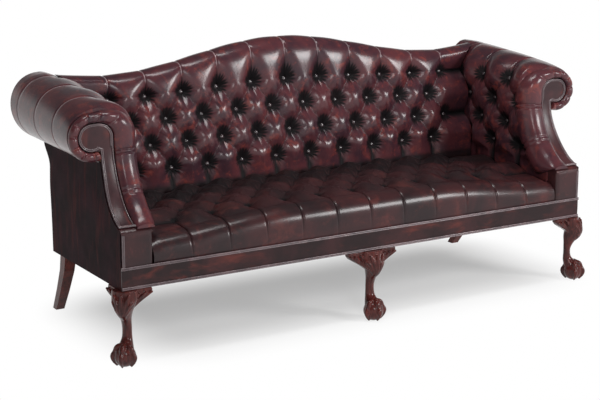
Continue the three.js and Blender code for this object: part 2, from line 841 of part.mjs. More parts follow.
function armLining(yAt) {
  const line = [];
  const y = yAt(vector(armInnerX, 0, sweepTop));
  const close = rollClose(y);
  const centreX = rollAxisX(y);
  const centreZ = rollUnderside + rollRadius(y);
  const radius = rollRadius(y) - rollWall;
  for (let i = 0; i <= liningSteps; i += 1) {
    const angle = mix(close, Math.PI / 2, i / liningSteps);
    line.push(vector(centreX + radius * Math.cos(angle), 0, centreZ + radius * Math.sin(angle)));
  }
  const inner = armInnerX + armSkin;
  const bend = Math.SQRT1_2;
  line.push(vector(centreX - (centreX - inner) * bend, 0, centreZ + radius * bend));
  for (let i = 0; i <= liningWallSteps; i += 1) {
    line.push(vector(inner, 0, mix(centreZ, armBottom, i / liningWallSteps)));
  }
  return line.map((point) => vector(point.x, yAt(point), point.z));
}

function tuftedArm() {
  const places = armStations();
  const first = places[0];
  const last = places[places.length - 1];
  const rings = [armRing(armFrontY)];
  rings.push(armRing((point) => mix(armFrontY(point), Math.max(first, armFrontY(point)), 1 / 2)));
  for (const y of places) rings.push(armRing((point) => Math.max(y, armFrontY(point))));
  rings.push(armRing((point) => mix(last, armRearY(point), 1 / 2)));
  rings.push(armRing(armRearY));
  const turned = (i, j) => j < 2 * armRows + 1 && foldTurned((i - 1) / 4, (j - 3) / 2);
  return loft(rings, turned, (outline) => ladderFaces(outline, liningSteps + liningWallSteps + 3));
}

function armButtons() {
  const places = [];
  for (let row = 0; row < armRows; row += 1) {
    for (let column = (row % 2) / 2; column < armColumns; column += 1) {
      if (column < armColumns - 1 || row === armRows - 2) places.push([column, row]);
    }
  }
  return places.map(([across, row]) => {
    const y = armFirstColumnY + across * armPitch;
    const distance = armFirstRowHeight + row * armRowSpacing - armBottom;
    const { normal } = alongProfile(armProfile(y), distance);
    return button(armSurface(y, distance), normal, rimLift(armPuffDepth, armPitch));
  });
}

addPair("tufted_arm", joined(tuftedArm(), ...armButtons()), oxblood);

// Curved sheet of the arm front: a share of 0 is its foot on the base block and 1 the top of
// the hollow, above which it stands upright. It is moved back by a distance behind its face.
function sweepPoint(x, share, behind = 0) {
  const angle = (Math.PI / 2) * (1 - Math.min(1, share));
  const depth = Math.cos(angle) ** (2 / sweepPower);
  const drop = Math.sin(angle) ** (2 / sweepPower);
  const above = Math.max(0, share - 1) * sweepHeight;
  const z = sweepTop - (sweepHeight + behind) * drop + above;
  return vector(x, sweepFootY + (sweepDepth + behind) * depth, z);
}

function sweepNormal(share) {
  const step = 1 / weldScale;
  const run = sweepPoint(0, share + step).sub(sweepPoint(0, share)).normalize();
  return vector(0, -run.z, run.y);
}

// Share of the sheet at a height
function shareAt(z) {
  if (z >= sweepTop) return 1 + (z - sweepTop) / sweepHeight;
  const drop = Math.min(1, (sweepTop - z) / sweepHeight);
  return 1 - (2 / Math.PI) * Math.asin(drop ** (sweepPower / 2));
}

// Outer face of the side panels, which lean in above the base block
function panelX(z) {
  return railHalfWidth - sideLean * smooth((z - sideLeanStart) / (panelTop - sideLeanStart));
}

// Edges of the facing strip: up the neck, then round the scroll. Each edge has a place along X
// and a share on the sheet. The inner edge runs round beside the band, whose curve closes on
// the disc.
function facingStations(inset = 0) {
  const stations = [];
  const neckShare = shareAt(rollFrontCentreZ - facingDiscRadius) - facingNeckStepShare;
  for (let i = 0; i <= facingSweepSteps; i += 1) {
    const share = mix(facingFootShare, neckShare, i / facingSweepSteps);
    const outer = panelX(sweepPoint(0, share).z) - coverGap - inset;
    stations.push({ inner: [facingInnerX + inset, share], outer: [outer, share] });
  }
  for (let i = 0; i < facingDiscSteps; i += 1) {
    const angle = mix(-Math.PI / 2, Math.PI / 2, i / facingDiscSteps);
    const radius = facingDiscRadius - inset;
    const reach = mix(rollCentreX - facingInnerX, facingDiscRadius, bandClose(angle)) - inset;
    const [across, up] = [Math.cos(angle), Math.sin(angle)];
    const outer = [rollCentreX + radius * across, shareAt(rollFrontCentreZ + radius * up)];
    const scroll = [rollCentreX - reach * across, shareAt(rollFrontCentreZ + reach * up)];
    stations.push({ inner: angle > 0 ? scroll : [facingInnerX + inset, outer[1]], outer });
  }
  return stations;
}

// How far the band has closed from the neck onto the disc, by its angle over the roll's middle
function bandClose(angle) {
  return smooth(angle / (Math.PI / 2));
}

function armFacing() {
  const rings = facingStations().map(({ inner, outer }) => [
    sweepPoint(...inner), sweepPoint(...outer),
    sweepPoint(...outer, leather), sweepPoint(...inner, leather),
  ]);
  return loft(rings);
}

addPair("arm_facing", armFacing(), oxblood);

// Round cord along a path whose places name the direction their section stands on
function cord(path, radius, sides) {
  return loft(path.map(({ point, normal }, i) => {
    const before = path[Math.max(0, i - 1)].point;
    const after = path[Math.min(path.length - 1, i + 1)].point;
    const side = after.clone().sub(before).normalize().cross(normal).normalize();
    return Array.from({ length: sides }, (_, k) => {
      const angle = (2 * Math.PI * k) / sides;
      return point.clone().addScaledVector(side, radius * Math.cos(angle))
        .addScaledVector(normal, radius * Math.sin(angle));
    });
  }));
}

function facingWelt() {
  const stations = facingStations(weltRadius);
  const place = ([x, share]) => {
    const normal = sweepNormal(share);
    return { point: sweepPoint(x, share).addScaledVector(normal, weltRadius + clearance), normal };
  };
  const path = stations.map(({ outer }) => place(outer));
  for (const { inner } of stations.slice().reverse()) path.push(place(inner));
  return cord(path, weltRadius, weltSides);
}

addPair("facing_welt", facingWelt(), oxbloodDark);

// Puffed band: up the inner side of the facing, then as a pleated ring round the disc
function bandStation(centre, side, normal, halfWidth, rise) {
  const section = [];
  for (let k = 0; k <= bandSections; k += 1) {
    const angle = (Math.PI * k) / bandSections;
    section.push(centre.clone().addScaledVector(side, -halfWidth * Math.cos(angle))
      .addScaledVector(normal, rise * Math.sin(angle)));
  }
  section.push(centre.clone().addScaledVector(side, halfWidth).addScaledVector(normal, -leather));
  section.push(centre.clone().addScaledVector(side, -halfWidth).addScaledVector(normal, -leather));
  return section;
}

function armBand() {
  const rings = [];
  for (let i = 0; i <= bandSweepSteps; i += 1) {
    const share = mix(bandFootShare, 1, i / bandSweepSteps);
    const seam = bandSeamSteps.includes(i);
    const rise = bandRise - (seam ? bandSeamDepth : 0);
    const centre = sweepPoint(bandCentreX, share);
    rings.push(bandStation(centre, vector(1, 0, 0), sweepNormal(share), bandHalfWidth, rise));
  }
  const start = rollCentreX - bandCentreX;
  const end = THREE.MathUtils.degToRad(bandEndDegrees);
  for (let i = 0; i <= bandRingSteps; i += 1) {
    const angle = mix(Math.PI, end, i / bandRingSteps);
    const close = bandClose(Math.PI - angle);
    const radius = mix(start, bandRingRadius, close);
    const halfWidth = mix(bandHalfWidth, bandRingHalfWidth, close);
    const rise = mix(bandRise, bandRingHalfWidth, close) - (i % 2 ? bandSeamDepth : 0);
    const outward = vector(Math.cos(angle), 0, Math.sin(angle));
    const centre = vector(rollCentreX, sweepTopY, rollFrontCentreZ).addScaledVector(outward, radius);
    rings.push(bandStation(centre, outward.clone().negate(), vector(0, -1, 0), halfWidth, rise));
  }
  return loft(rings);
}

addPair("arm_band", armBand(), oxblood);

// Height of the sweep, moved back behind the facing, at a place on its depth
function baseTopAt(y) {
  const depth = (y - sweepFootY) / (sweepDepth + coverGap);
  return sweepTop - (sweepHeight + coverGap) * (1 - depth ** sweepPower) ** (1 / sweepPower);
}

// Padded block under the foot of the band, its top cut to the sweep
function armBase() {
  const back = railFrontY + baseDepth;
  const corner = Math.SQRT1_2 * baseRound;
  const outline = [
    vector(0, back, borderTop + clearance),
    vector(0, railFrontY, borderTop + clearance),
    vector(0, railFrontY, baseTop - baseRound),
    vector(0, railFrontY + baseRound - corner, baseTop - baseRound + corner),
  ];
  for (let i = 0; i <= baseTopSteps; i += 1) {
    const y = mix(railFrontY + baseRound, back, i / baseTopSteps);
    outline.push(vector(0, y, baseTopAt(y)));
  }
  return loft([baseInnerX, timberHalfWidth].map((x) => outline.map((p) => vector(x, p.y, p.z))));
}

addPair("arm_base", armBase(), oxblood);

// Rear edge of the side panels: upright, then swept back to the plane of the back
function sideRearY(z) {
  const behind = slabRear(Math.max(z, slabFootZ)).y;
  return mix(railRearY, behind, smooth((z - sideBendZ) / (sideBendTop - sideBendZ)));
}

function bendHeights() {
  const shares = Array.from({ length: panelSteps + 1 }, (_, i) => i / panelSteps);
  return shares.map((share) => mix(sideBendZ, sideBendTop, share)).concat(panelTop);
}

function outsideArm() {
  const low = [railBottom - clearance, borderTop, baseTop];
  const heights = [...low, sideLeanStart, (sideLeanStart + sideBendZ) / 2, ...bendHeights()];
  return loft(heights.map((z) => {
    const x = panelX(z);
    const front = Math.max(railFrontY + coverGap, sweepY(z, coverGap));
    const rear = sideRearY(z) - coverGap;
    return [vector(x, front, z), vector(x, rear, z),
      vector(x - leather, rear, z), vector(x - leather, front, z)];
  }));
}

addPair("outside_arm", outsideArm(), oxblood);

// Outside of the back: one sheet from side to side whose ends are cut round the arm rolls
function outsideBackRing(x) {
  const away = Math.abs(x);
  const rollZ = rollUnderside + rollRearRadius;
  const reach = Math.sqrt(Math.max(0, (rollRearRadius - clearance) ** 2 - (away - rollRearCentreX) ** 2));
  const top = away <= backTopJoinX ? slabPoint(0, crestUp(x) - crestWeltDrop, 0).z : rollZ + reach;
  const beyond = away > railHalfWidth;
  const low = [railBottom - clearance, slabFootZ, ...bendHeights()];
  const heights = beyond ? low.map((_, k) => mix(rollZ - reach, top, k * rollEndStepShare)) : low;
  heights.push(top);
  const side = smooth((away - slabSideX) / (railHalfWidth - slabSideX));
  const outer = heights.map((z) => {
    const slab = slabRear(Math.max(z, slabFootZ)).y;
    return vector(x, beyond || z > panelTop ? slab : mix(slab, sideRearY(z), side), z);
  });
  return outer.concat(outer.map((p) => vector(p.x, p.y - leather, p.z)).reverse());
}

function outsideBack() {
  const half = [];
  for (let i = 0; i <= outsideBackColumns; i += 1) half.push((backTopJoinX * i) / outsideBackColumns);
  half.push((slabSideX + railHalfWidth) / 2, railHalfWidth);
  for (let i = 0; i < rollEndSteps; i += 1) {
    const reach = Math.sin((Math.PI / 2) * (i / rollEndSteps));
    half.push(mix(railHalfWidth + clearance, rollOuterX, reach));
  }
  const columns = half.slice(1).reverse().map((x) => -x).concat(half);
  return loft(columns.map(outsideBackRing));
}

addMesh("outside_back", outsideBack(), oxblood);

function crestWelt() {
  const path = [];
  const reach = backTopJoinX - weltRadius;
  for (let i = -outsideBackColumns; i <= outsideBackColumns; i += 1) {
    const x = (reach * i) / outsideBackColumns;
    const up = crestUp(x) - crestWeltDrop + weltRadius + clearance;
    path.push({ point: slabPoint(x, up, 0), normal: slabNormal });
  }
  return cord(path, weltRadius, weltSides);
}

addMesh("crest_welt", crestWelt(), oxbloodDark);

// Front border, with two cords side by side on one flange above and below
const borderLow = railBottom - clearance;
const borderBack = railFrontY + leather;
const frontBorder = box(-railHalfWidth, railHalfWidth, railFrontY, borderBack, borderLow, borderTop);
addMesh("front_border", frontBorder, oxblood);

function doubleWelt(middleZ) {
  const section = [];
  for (const turn of doubleWeltTurns) section.push([Math.sin(turn), -1 - Math.cos(turn)]);
  for (const turn of doubleWeltTurns.slice().reverse()) section.push([Math.sin(turn), 1 + Math.cos(turn)]);
  const back = railFrontY - clearance + weltRadius * Math.sin(doubleWeltTurns[0]);
  const at = (x) => section.map(([out, up]) => vector(x, back - weltRadius * out, middleZ + weltRadius * up));
  return loft([at(-railHalfWidth), at(railHalfWidth)]);
}

addMesh("top_border_welt", doubleWelt(borderTop), oxbloodDark);
addMesh("bottom_border_welt", doubleWelt(railBottom + 2 * weltRadius), oxbloodDark);

// Frame timber. The seat rails stand on the legs and carry every post.
function hole(x, y, bottom, top, radius) {
  const geometry = new THREE.CylinderGeometry(radius, radius, top - bottom, boltSides);
  geometry.rotateX(Math.PI / 2);
  geometry.translate(x, y, (top + bottom) / 2);
  return geometry;
}

const springCount = 2 * springHalfCount + 1;
const springPlaces = Array.from({ length: springCount }, (_, i) => (i - springHalfCount) * springPitch);
const springFrontY = timberFrontY + clipInset;
const springRearY = timberRearY - clipInset;

// Clip screwed to a rail, its eye round the end rung of a spring
function clip(x, y) {
  const half = clipDepth / 2;
  const [low, high] = [railTop - clipBed, springWireZ + springWire];
  return box(x - clipHalfWidth, x + clipHalfWidth, y - half, y + half, low, high);
}

function clipEye(x, y) {
  const half = springWire / 2 + clearance;
  const reach = clipHalfWidth + cutOverrun;
  return box(x - reach, x + reach, y - half, y + half, springWireZ - half, springWireZ + half);
}

function seatRail(inner, outer, y, boltPlaces) {
  const [front, rear] = [Math.min(inner, outer), Math.max(inner, outer)];
  const timber = box(-timberHalfWidth, timberHalfWidth, front, rear, railBottom, railTop);
  const clips = joined(timber, ...springPlaces.map((x) => clip(x, y)));
  const holes = boltPlaces.map(([x, boltY]) => (
    hole(x, boltY, railBottom - cutOverrun, railBottom + boltLength, boltRadius * boltHoleScale)));
  return cut(clips, ...springPlaces.map((x) => clipEye(x, y)), ...holes);
}

const cornerFootX = railHalfWidth - footInset;
const cornerFootY = railFrontY + footSetback;
const centreFootY = railFrontY - centreFootForward;
const boltInset = railThickness / 2;
const cornerBoltX = timberHalfWidth - boltInset;
const frontBoltY = timberFrontY + boltInset;
const rearBoltY = timberRearY - boltInset;
const rearTopX = rearFootX + rearLegSplay;
const frontBolts = [[-cornerBoltX, frontBoltY], [0, frontBoltY], [cornerBoltX, frontBoltY]];
const rearBolts = [[-rearTopX, rearBoltY], [rearTopX, rearBoltY]];

const frontRail = seatRail(timberFrontY, timberFrontY + railThickness, springFrontY, frontBolts);
addMesh("front_seat_rail", frontRail, beech);
addMesh("back_seat_rail", seatRail(timberRearY, timberRearY - railThickness, springRearY, rearBolts), beech);

const innerFrontY = timberFrontY + railThickness + clearance;
const innerRearY = timberRearY - railThickness - clearance;
const innerHalfWidth = timberHalfWidth - railThickness;

const sideRail = box(innerHalfWidth, timberHalfWidth, innerFrontY, innerRearY, railBottom, railTop);
addPair("side_rail", sideRail, beech);

const stretcherHalf = railThickness / 2;
addPair("stretcher", box(stretcherX - stretcherHalf, stretcherX + stretcherHalf, innerFrontY, innerRearY,
  railBottom, railBottom + stretcherHeight), beech);

// Glued block across a corner of the frame
function cornerBlock(cornerY, inward) {
  const x = innerHalfWidth - clearance;
  const at = (z) => [
    vector(x, cornerY, z),
    vector(x - cornerBlockLeg, cornerY, z),
    vector(x, cornerY + inward * cornerBlockLeg, z),
  ];
  return loft([at(railBottom), at(railBottom + cornerBlockHeight)]);
}

addPair("front_corner_block", cornerBlock(innerFrontY, 1), beech);
addPair("rear_corner_block", cornerBlock(innerRearY, -1), beech);

// Timber of the back lies in the slab between its outside cover and its webbing
const slabTimberRear = leather + clearance;
const slabTimberFront = slabTimberRear + postThickness;
const postFootZ = railTop + clearance;

function slabUp(z, forward) {
  return (z - slabFootZ - forward * Math.sin(lean)) / Math.cos(lean);
}

// Underside of the stuffed crest at a depth in the slab, at the bottom of its pleats
function crestBase(x, forward) {
  const angle = Math.PI * crestAngleShares[crestAngleShares.length - 1];
  const rearUp = crestUp(x) - crestRollHeight + (crestRollHeight - crestPleatDepth) * Math.sin(angle);
  const rearForward = crestMiddle + crestRollRear * Math.cos(angle);
  const frontUp = crestUp(x) - crestRollHeight;
  const frontForward = backButtonStandoff - backStuffingSkin;
  return mix(rearUp, frontUp, (forward - rearForward) / (frontForward - rearForward));
}

function slabBar(minX, maxX, lowUp, highUp) {
  const at = (x) => [
    slabPoint(x, lowUp(x, slabTimberRear), slabTimberRear),
    slabPoint(x, lowUp(x, slabTimberFront), slabTimberFront),
    slabPoint(x, highUp(x, slabTimberFront), slabTimberFront),
    slabPoint(x, highUp(x, slabTimberRear), slabTimberRear),
  ];
  const steps = Math.max(1, Math.round((maxX - minX) / (backPitch / 4)));
  return loft(Array.from({ length: steps + 1 }, (_, i) => at(mix(minX, maxX, i / steps))));
}

const camelRailTop = (x, forward) => crestBase(x, forward) - crestBaseGap;
const camelRailLow = (x) => crestUp(x) - crestRollHeight - camelRailHeight;
const belowCamelRail = (x) => camelRailLow(x) - camelRailFit;
const onTuckRail = () => tuckRailRise + tuckRailHeight + clearance;

addMesh("camel_top_rail", slabBar(-backHalfWidth, backHalfWidth, camelRailLow, camelRailTop), beech);
addPair("back_post", slabBar(backHalfWidth - backPostWidth, backHalfWidth,
  (x, forward) => slabUp(postFootZ, forward), belowCamelRail), beech);
const tuckRailHalf = backHalfWidth - backPostWidth - clearance;
const tuckRailTop = tuckRailRise + tuckRailHeight;
const backTuckRail = slabBar(-tuckRailHalf, tuckRailHalf, () => tuckRailRise, () => tuckRailTop);
addMesh("back_tuck_rail", backTuckRail, beech);
const uprightInner = uprightX - uprightWidth / 2;
const backUpright = slabBar(uprightInner, uprightInner + uprightWidth, onTuckRail, belowCamelRail);
addPair("back_upright", backUpright, beech);

// Timber of the arm. The front post carries the turned head of the scroll.
const armFrameRight = rollCentreX - facingBoardInset;

// Front face of the post: upright beside the base block, then along the hollow
function armPostFront(z) {
  return Math.max(railFrontY + baseDepth + clearance, sweepY(z, facingBackGap));
}

function armFrontPost() {
  const neckTop = rollFrontCentreZ;
  const heights = [postFootZ, baseTop];
  for (let i = 0; i <= postSteps; i += 1) heights.push(mix(baseTop + postNeckRise, neckTop, i / postSteps));
  const neck = loft(heights.map((z) => {
    const y = armPostFront(z);
    const right = Math.min(armFrameRight, panelX(z) - coverGap);
    return [vector(armTimberX, y, z), vector(right, y, z),
      vector(right, y + armPostDepth, z), vector(armTimberX, y + armPostDepth, z)];
  }));
  const head = new THREE.CylinderGeometry(scrollHeadRadius, scrollHeadRadius, armPostDepth, scrollHeadSides);
  head.translate(rollCentreX, sweepTopY + facingBackGap + armPostDepth / 2, rollFrontCentreZ);
  return joined(neck, head);
}

addPair("arm_front_post", armFrontPost(), beech);

const rearPostFront = (z) => slabRear(z).y - armRearPostSetback - postThickness;

function armRearPost() {
  const right = armTimberX + armRearPostWidth;
  return loft([postFootZ, rearPostTop].map((z) => {
    const y = rearPostFront(z);
    return [vector(armTimberX, y, z), vector(right, y, z),
      vector(right, y + postThickness, z), vector(armTimberX, y + postThickness, z)];
  }));
}

addPair("arm_rear_post", armRearPost(), beech);

// Rail under the crest of the arm, from the turned head back to the rear post
function armTopRail() {
  const frontY = sweepTopY + facingBackGap + armPostDepth + clearance;
  const section = [[-1, -1], [1, -1], [1, 1], [-1, 1]];
  const front = section.map(([across, up]) => {
    const x = rollCentreX - armRailFrontOffset + across * armRailHalf;
    return vector(x, frontY, rollFrontCentreZ + up * armRailHalf);
  });
  const rear = section.map(([across, up]) => {
    const z = rollFrontCentreZ + up * armRailHalf;
    const x = armTimberX + armRearPostWidth / 2 + across * armRailHalf;
    return vector(x, rearPostFront(z) - clearance, z);
  });
  return loft([front, rear]);
}

addPair("arm_top_rail", armTopRail(), beech);

function armTuckRail() {
  const low = armBottom + armTuckRailGap;
  const top = low + tuckRailHeight;
  const frontY = armPostFront(Math.max(baseTop, top)) + armPostDepth + clearance;
  const right = armTimberX + railThickness;
  const at = (y) => (x, z) => vector(x, y(z), z);
  const ring = (point) => [point(armTimberX, low), point(right, low),
    point(right, top), point(armTimberX, top)];
  return loft([ring(at(() => frontY)), ring(at((z) => rearPostFront(z) - clearance))]);
}

addPair("arm_tuck_rail", armTuckRail(), beech);

// Burlap tacked over the inner side of the arm frame
function armBurlap() {
  const x = armInnerX + armSkin + clearance;
  const low = armBottom + armTuckRailGap;
  const shares = Array.from({ length: burlapSteps + 1 }, (_, i) => i / burlapSteps);
  const heights = shares.map((share) => mix(low, rollFrontCentreZ, share));
  return loft(heights.map((z) => {
    const front = Math.max(railFrontY + baseDepth, sweepY(z)) + burlapInset;
    const rear = slabRear(z).y - burlapInset;
    return [vector(x, front, z), vector(x + burlapThickness, front, z),
      vector(x + burlapThickness, rear, z), vector(x, rear, z)];
  }));
}

addPair("arm_burlap", armBurlap(), jute);

// Zigzag springs, laced together by a wire across their middle
function springHeight(y) {
  const place = (2 * (y - springFrontY)) / (springRearY - springFrontY) - 1;
  return springWireZ + springCrown * (1 - place ** springPlateau);
}

function spring(x) {
  const path = [];
  for (let i = 0; i < springRungs; i += 1) {
    const y = mix(springFrontY, springRearY, i / (springRungs - 1));
    const side = i % 2 ? -1 : 1;
    for (const end of [-side, side]) path.push(vector(x + end * springHalfWidth, y, springHeight(y)));
  }
  return wire(path);
}

function wire(path) {
  const radius = (springWire / 2) * Math.SQRT2 * wireShare;
  return cord(path.map((point) => ({ point, normal: vector(0, 0, 1) })), radius, wireSides);
}

function seatSprings() {
  const middle = (springFrontY + springRearY) / 2;
  const reach = springPlaces[springPlaces.length - 1] + springHalfWidth;
  const z = springHeight(middle) - lacingSink;
  const lacing = wire([vector(-reach, middle, z), vector(reach, middle, z)]);
  return joined(lacing, ...springPlaces.map(spring));
}

addMesh("seat_springs", seatSprings(), steel);

const deckFrontY = seatFrontY + seatLipWidth + clearance;
const deckSheet = (low, high) => box(-seatHalfWidth, seatHalfWidth, deckFrontY, seatRearY, low, high);
addMesh("seat_burlap", deckSheet(seatBurlapZ, seatBurlapZ + burlapThickness), jute);
addMesh("seat_pad", deckSheet(seatPadZ, seatUnderside - clearance), cotton);

// Woven webbing and its pad in front of the back timber
const webbingRear = slabTimberFront + clearance;
const backPadRear = webbingRear + webbingThickness + clearance;
const backPadFront = backButtonStandoff - backStuffingSkin - clearance;

function slabSheet(low, high, halfWidth, rear, front) {
  const steps = 2 * Math.round(halfWidth / (backPitch / 2));
  return loft(Array.from({ length: steps + 1 }, (_, i) => {
    const x = mix(-halfWidth, halfWidth, i / steps);
    return [slabPoint(x, low(x), rear), slabPoint(x, low(x), front),
      slabPoint(x, high(x), front), slabPoint(x, high(x), rear)];
  }));
}

// Strip of webbing between two places across the slab and two heights up it
function webbingStrip(ends, low, high) {
  const front = webbingRear + webbingThickness;
  return loft(ends.map((at) => [slabPoint(at, low, webbingRear), slabPoint(at, low, front),
    slabPoint(at, high, front), slabPoint(at, high, webbingRear)]));
}

function backWebbing() {
  const low = tuckRailRise + clearance;
  const strips = [];
  for (const x of webbingColumns()) {
    const high = crestUp(x) - crestRollHeight - webbingTackDrop;
    const corners = [x - webbingWidth / 2, x + webbingWidth / 2];
    strips.push(webbingStrip(corners, low, high));
  }
  for (let i = 0; i < webbingBands; i += 1) {
    const up = webbingFirstHeight + i * webbingBandPitch;
    const reach = backHalfWidth - clearance;
    strips.push(webbingStrip([-reach, reach], up, up + webbingWidth));
  }
  return joined(...strips);
}

function webbingColumns() {
  const count = 2 * webbingHalfCount + 1;
  return Array.from({ length: count }, (_, i) => (i - webbingHalfCount) * webbingPitch);
}

addMesh("back_webbing", backWebbing(), jute);
const backPadLow = (x) => backRowUp(backBottomRow, x);
const backPadHigh = (x) => crestUp(x) - crestRollHeight - backPadTopGap;
const backPad = slabSheet(backPadLow, backPadHigh, backHalfWidth, backPadRear, backPadFront);
addMesh("back_pad", backPad, cotton);

// Cambric under the frame, clear of the legs
function dustCover() {
  const x = innerHalfWidth - dustCoverInset;
  const y = -innerFrontY - dustCoverInset;
  const corners = [[1, -1], [1, 1], [-1, 1], [-1, -1]];
  const outline = corners.flatMap(([sideX, sideY]) => {
    const atX = vector(sideX * (x - dustCoverCorner), sideY * y, 0);
    const atY = vector(sideX * x, sideY * (y - dustCoverCorner), 0);
    return sideX * sideY > 0 ? [atY, atX] : [atX, atY];
  });
  const top = railBottom - clearance;
  return loft([top - cambricThickness, top].map((z) => outline.map((p) => vector(p.x, p.y, z))));
}

addMesh("dust_cover", dustCover(), cambric);

// Front legs: a cabriole with a carved knee, ball and claw foot and a bracket to each side
const legTop = railBottom - clearance;

function legSection(height, forward, deep, wide) {
  return Array.from({ length: legSides }, (_, k) => {
    const angle = (2 * Math.PI * k) / legSides;
    return vector(wide * Math.cos(angle), -forward - deep * Math.sin(angle), height);
  });
}

function legStem() {
  return loft(legHeightShares.map((share, i) => legSection(share * legTop,
    legForwardShares[i] * ballRadius, legDeepShares[i] * ballRadius, legWideShares[i] * ballRadius)));
}

// Ball of the foot, flat where it stands on the floor
function legBall() {
  const profile = [new THREE.Vector2(0, 0)];
  const floorAngle = -Math.asin(ballCentreHeight / ballRadius);
  for (let i = 0; i <= ballSteps; i += 1) {
    const angle = mix(floorAngle, Math.PI / 2, i / ballSteps);
    const height = i ? ballCentreHeight + ballRadius * Math.sin(angle) : 0;
    profile.push(new THREE.Vector2(i < ballSteps ? ballRadius * Math.cos(angle) : 0, height));
  }
  const geometry = new THREE.LatheGeometry(profile, legSides);
  geometry.rotateX(Math.PI / 2);
  return geometry;
}

// A toe of the claw: down over the ball with knuckles, seen along its own direction
function legClaw(direction) {
  const outward = vector(Math.cos(direction), Math.sin(direction), 0);
  const across = vector(-Math.sin(direction), Math.cos(direction), 0);
  return loft(clawReachShares.map((reach, i) => {
    const centre = outward.clone().multiplyScalar(reach * ballRadius);
    centre.z = ballCentreHeight + clawRiseShares[i] * ballRadius;
    const radius = clawRadius * clawSizeShares[i];
    const before = Math.max(0, i - 1);
    const after = Math.min(clawReachShares.length - 1, i + 1);
    const run = outward.clone().multiplyScalar(clawReachShares[after] - clawReachShares[before]);
    run.z = clawRiseShares[after] - clawRiseShares[before];
    const side = run.normalize().cross(across).normalize();
    return Array.from({ length: clawSides }, (_, k) => {
      const angle = (2 * Math.PI * k) / clawSides;
      const point = centre.clone().addScaledVector(across, radius * Math.cos(angle));
      return point.addScaledVector(side, radius * Math.sin(angle));
    });
  }));
}

// Bracket beside the knee: a shaped board along the rail, scrolled at its tip
function legWing() {
  const outline = wingRunShares.map((share, i) => [share * wingReach, legTop - wingDropShares[i] * wingDrop]);
  return (place) => loft([0, wingThickness].map((depth) => outline.map(([run, z]) => place(run, depth, z))));
}

function claws(facing) {
  return clawTurnsDegrees.map((turn) => legClaw(facing + THREE.MathUtils.degToRad(turn)));
}

function cabriole(x, y, facing, wings, bolt) {
  const stem = legStem();
  stem.rotateZ(facing + Math.PI / 2);
  const parts = [legBall(), ...claws(facing)].map((part) => part.translate(x, y, 0));
  const stud = hole(bolt[0], bolt[1], legTop - boltSink, railBottom + boltLength - clearance, boltRadius);
  return joined(stem.translate(x, y, 0), ...parts, ...wings, stud);
}

const wingFront = timberFrontY - wingForward;
const alongFront = (x, side) => legWing()((run, depth, z) => vector(x + side * run, wingFront + depth, z));
const alongSide = (x, y) => legWing()((run, depth, z) => vector(x - depth, y + run, z));

const cornerFacing = -Math.PI / 4;
const rightCabriole = cabriole(cornerFootX, cornerFootY, cornerFacing, [
  alongFront(cornerFootX, -1), alongSide(timberHalfWidth + wingForward, cornerFootY),
], frontBolts[2]);
addMesh("front_right_leg", rightCabriole, mahogany);
addMesh("front_left_leg", mirrored(rightCabriole), mahogany);
const centreWings = [alongFront(0, -1), alongFront(0, 1)];
const centreLeg = cabriole(0, centreFootY, -Math.PI / 2, centreWings, frontBolts[1]);
addMesh("front_centre_leg", centreLeg, mahogany);

// Rear legs: square, raked back and in to the foot
function rearLeg() {
  const footY = railRearY + rearFootSetback;
  const rings = rearLegShares.map((share, i) => {
    const half = mix(rearFootSize, rearTopSize, share) / 2;
    const sway = rearLegSwayShares[i];
    const x = mix(rearFootX, rearTopX, share);
    const y = mix(footY, railRearY - rearTopInset, sway);
    const z = legTop * share;
    return [vector(x - half, y - half, z), vector(x + half, y - half, z),
      vector(x + half, y + half, z), vector(x - half, y + half, z)];
  });
  const stud = hole(rearTopX, rearBoltY, legTop - boltSink, railBottom + boltLength - clearance, boltRadius);
  return joined(loft(rings), stud);
}

const rightRearLeg = rearLeg();
addMesh("rear_right_leg", rightRearLeg, mahogany);
addMesh("rear_left_leg", mirrored(rightRearLeg), mahogany);

// The origin is the middle of the underside of the whole sofa
const bounds = new THREE.Box3().setFromObject(sofa);
sofa.position.y = -(bounds.min.y + bounds.max.y) / 2;
sofa.updateMatrixWorld(true);

export default sofa;
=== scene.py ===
"""Deep buttoned camelback sofa in hand-antiqued oxblood leather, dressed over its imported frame.

Metres, +Z up, the front faces -Y and the floor is z = 0. The side called left is the one at -X.
"""

import logging
import math
from collections.abc import Callable
from dataclasses import dataclass, field
from enum import Enum

import bmesh
import bpy
import numpy as np
from mathutils import Matrix, Vector


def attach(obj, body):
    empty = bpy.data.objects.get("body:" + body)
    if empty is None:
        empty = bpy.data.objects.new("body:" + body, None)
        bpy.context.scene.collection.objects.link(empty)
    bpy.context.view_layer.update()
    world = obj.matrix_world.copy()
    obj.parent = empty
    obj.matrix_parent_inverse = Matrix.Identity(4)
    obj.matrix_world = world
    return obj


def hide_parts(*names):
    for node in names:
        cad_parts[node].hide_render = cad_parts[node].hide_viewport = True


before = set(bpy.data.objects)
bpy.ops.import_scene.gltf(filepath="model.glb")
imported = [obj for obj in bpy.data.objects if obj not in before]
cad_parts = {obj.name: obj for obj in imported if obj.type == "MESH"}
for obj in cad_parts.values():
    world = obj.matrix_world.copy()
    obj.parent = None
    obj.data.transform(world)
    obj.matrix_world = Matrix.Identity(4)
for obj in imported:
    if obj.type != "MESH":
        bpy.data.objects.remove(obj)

Array = np.ndarray
Color = tuple[float, float, float]
Faces = list[tuple[int, ...]]
Span = tuple[float, float]
Noise = tuple[float, ...]

MM = 0.001
BODY = "root"
FORWARD = np.array([0.0, -1.0, 0.0])
UPWARD = np.array([0.0, 0.0, 1.0])

logging.basicConfig(level=logging.INFO, format="%(message)s")
log = logging.getLogger("sofa")


